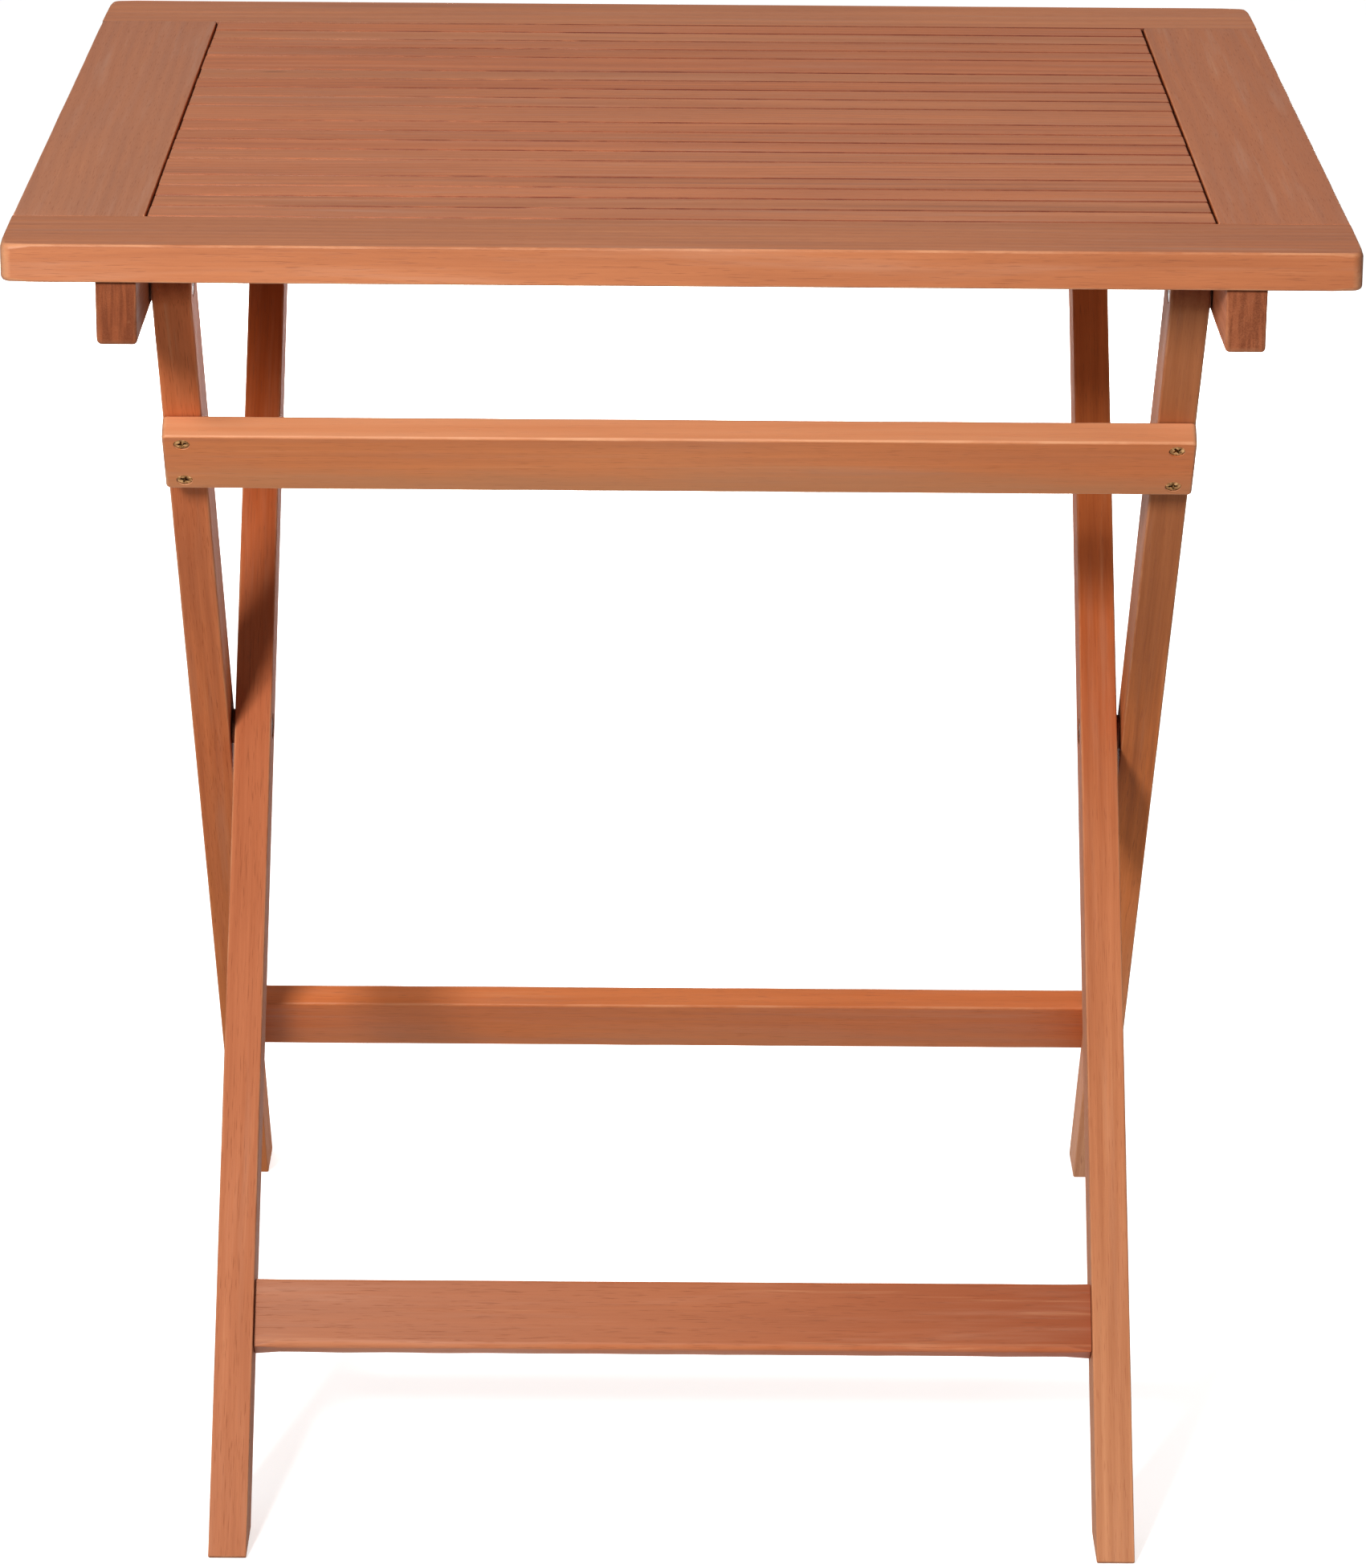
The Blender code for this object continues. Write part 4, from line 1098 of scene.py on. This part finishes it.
def area(name, loc, target, size, power, colour=(1.0, 1.0, 1.0)):
    data = bpy.data.lights.new(name, "AREA")
    data.shape = "RECTANGLE"
    data.size, data.size_y = size
    data.energy = power
    data.color = colour
    obj = bpy.data.objects.new(name, data)
    bpy.context.scene.collection.objects.link(obj)
    loc, target = Vector(loc), Vector(target)
    obj.rotation_mode = "QUATERNION"
    obj.rotation_quaternion = (target - loc).to_track_quat("-Z", "Y")
    obj.location = loc
    return obj


area("key", (-0.94, -2.68, 1.78), (0.0, 0.0, 0.45), (0.5, 0.5), 93.0)
area("overhead", (0.0, 0.9, 3.1), (0.0, 0.2, 0.7), (2.4, 2.4), 22.0)
# low fill behind the table, under the level of its top
area("back_fill", (0.2, 2.9, 0.42), (0.0, 0.0, 0.35), (1.8, 0.5), 30.0).visible_camera = False

world = bpy.data.worlds.new("studio")
bpy.context.scene.world = world
world.use_nodes = True
world.node_tree.nodes["Background"].inputs["Color"].default_value = (1.0, 1.0, 1.0, 1.0)
world.node_tree.nodes["Background"].inputs["Strength"].default_value = 0.39

view = bpy.context.scene.view_settings
view.view_transform = "Standard"
view.look = "None"
view.exposure = 0.0
view.gamma = 0.85

# ----------------------------------------------------------------------- camera
F_PX = 7967.9
IMAGE_H = 1952.0
PITCH, YAW, ROLL = 0.299857, 0.004652, 0.008103
fwd = Vector((math.sin(YAW) * math.cos(PITCH), math.cos(YAW) * math.cos(PITCH), -math.sin(PITCH)))
right = Vector((math.cos(YAW), -math.sin(YAW), 0.0))
up = right.cross(fwd)
r_axis = right * math.cos(ROLL) + up * math.sin(ROLL)
u_axis = up * math.cos(ROLL) - right * math.sin(ROLL)
cam_data = bpy.data.cameras.new("camera")
cam_data.sensor_fit = "AUTO"
cam_data.sensor_width = 36.0
cam_data.lens = F_PX * 36.0 / IMAGE_H
cam_data.clip_start = 0.05
cam_data.clip_end = 300.0
cam_data.dof.use_dof = False
cam = bpy.data.objects.new("camera", cam_data)
bpy.context.scene.collection.objects.link(cam)
cam.matrix_world = place(r_axis, u_axis, -fwd, Vector((-12.23, -3562.5, 1451.4)))
bpy.context.scene.camera = cam
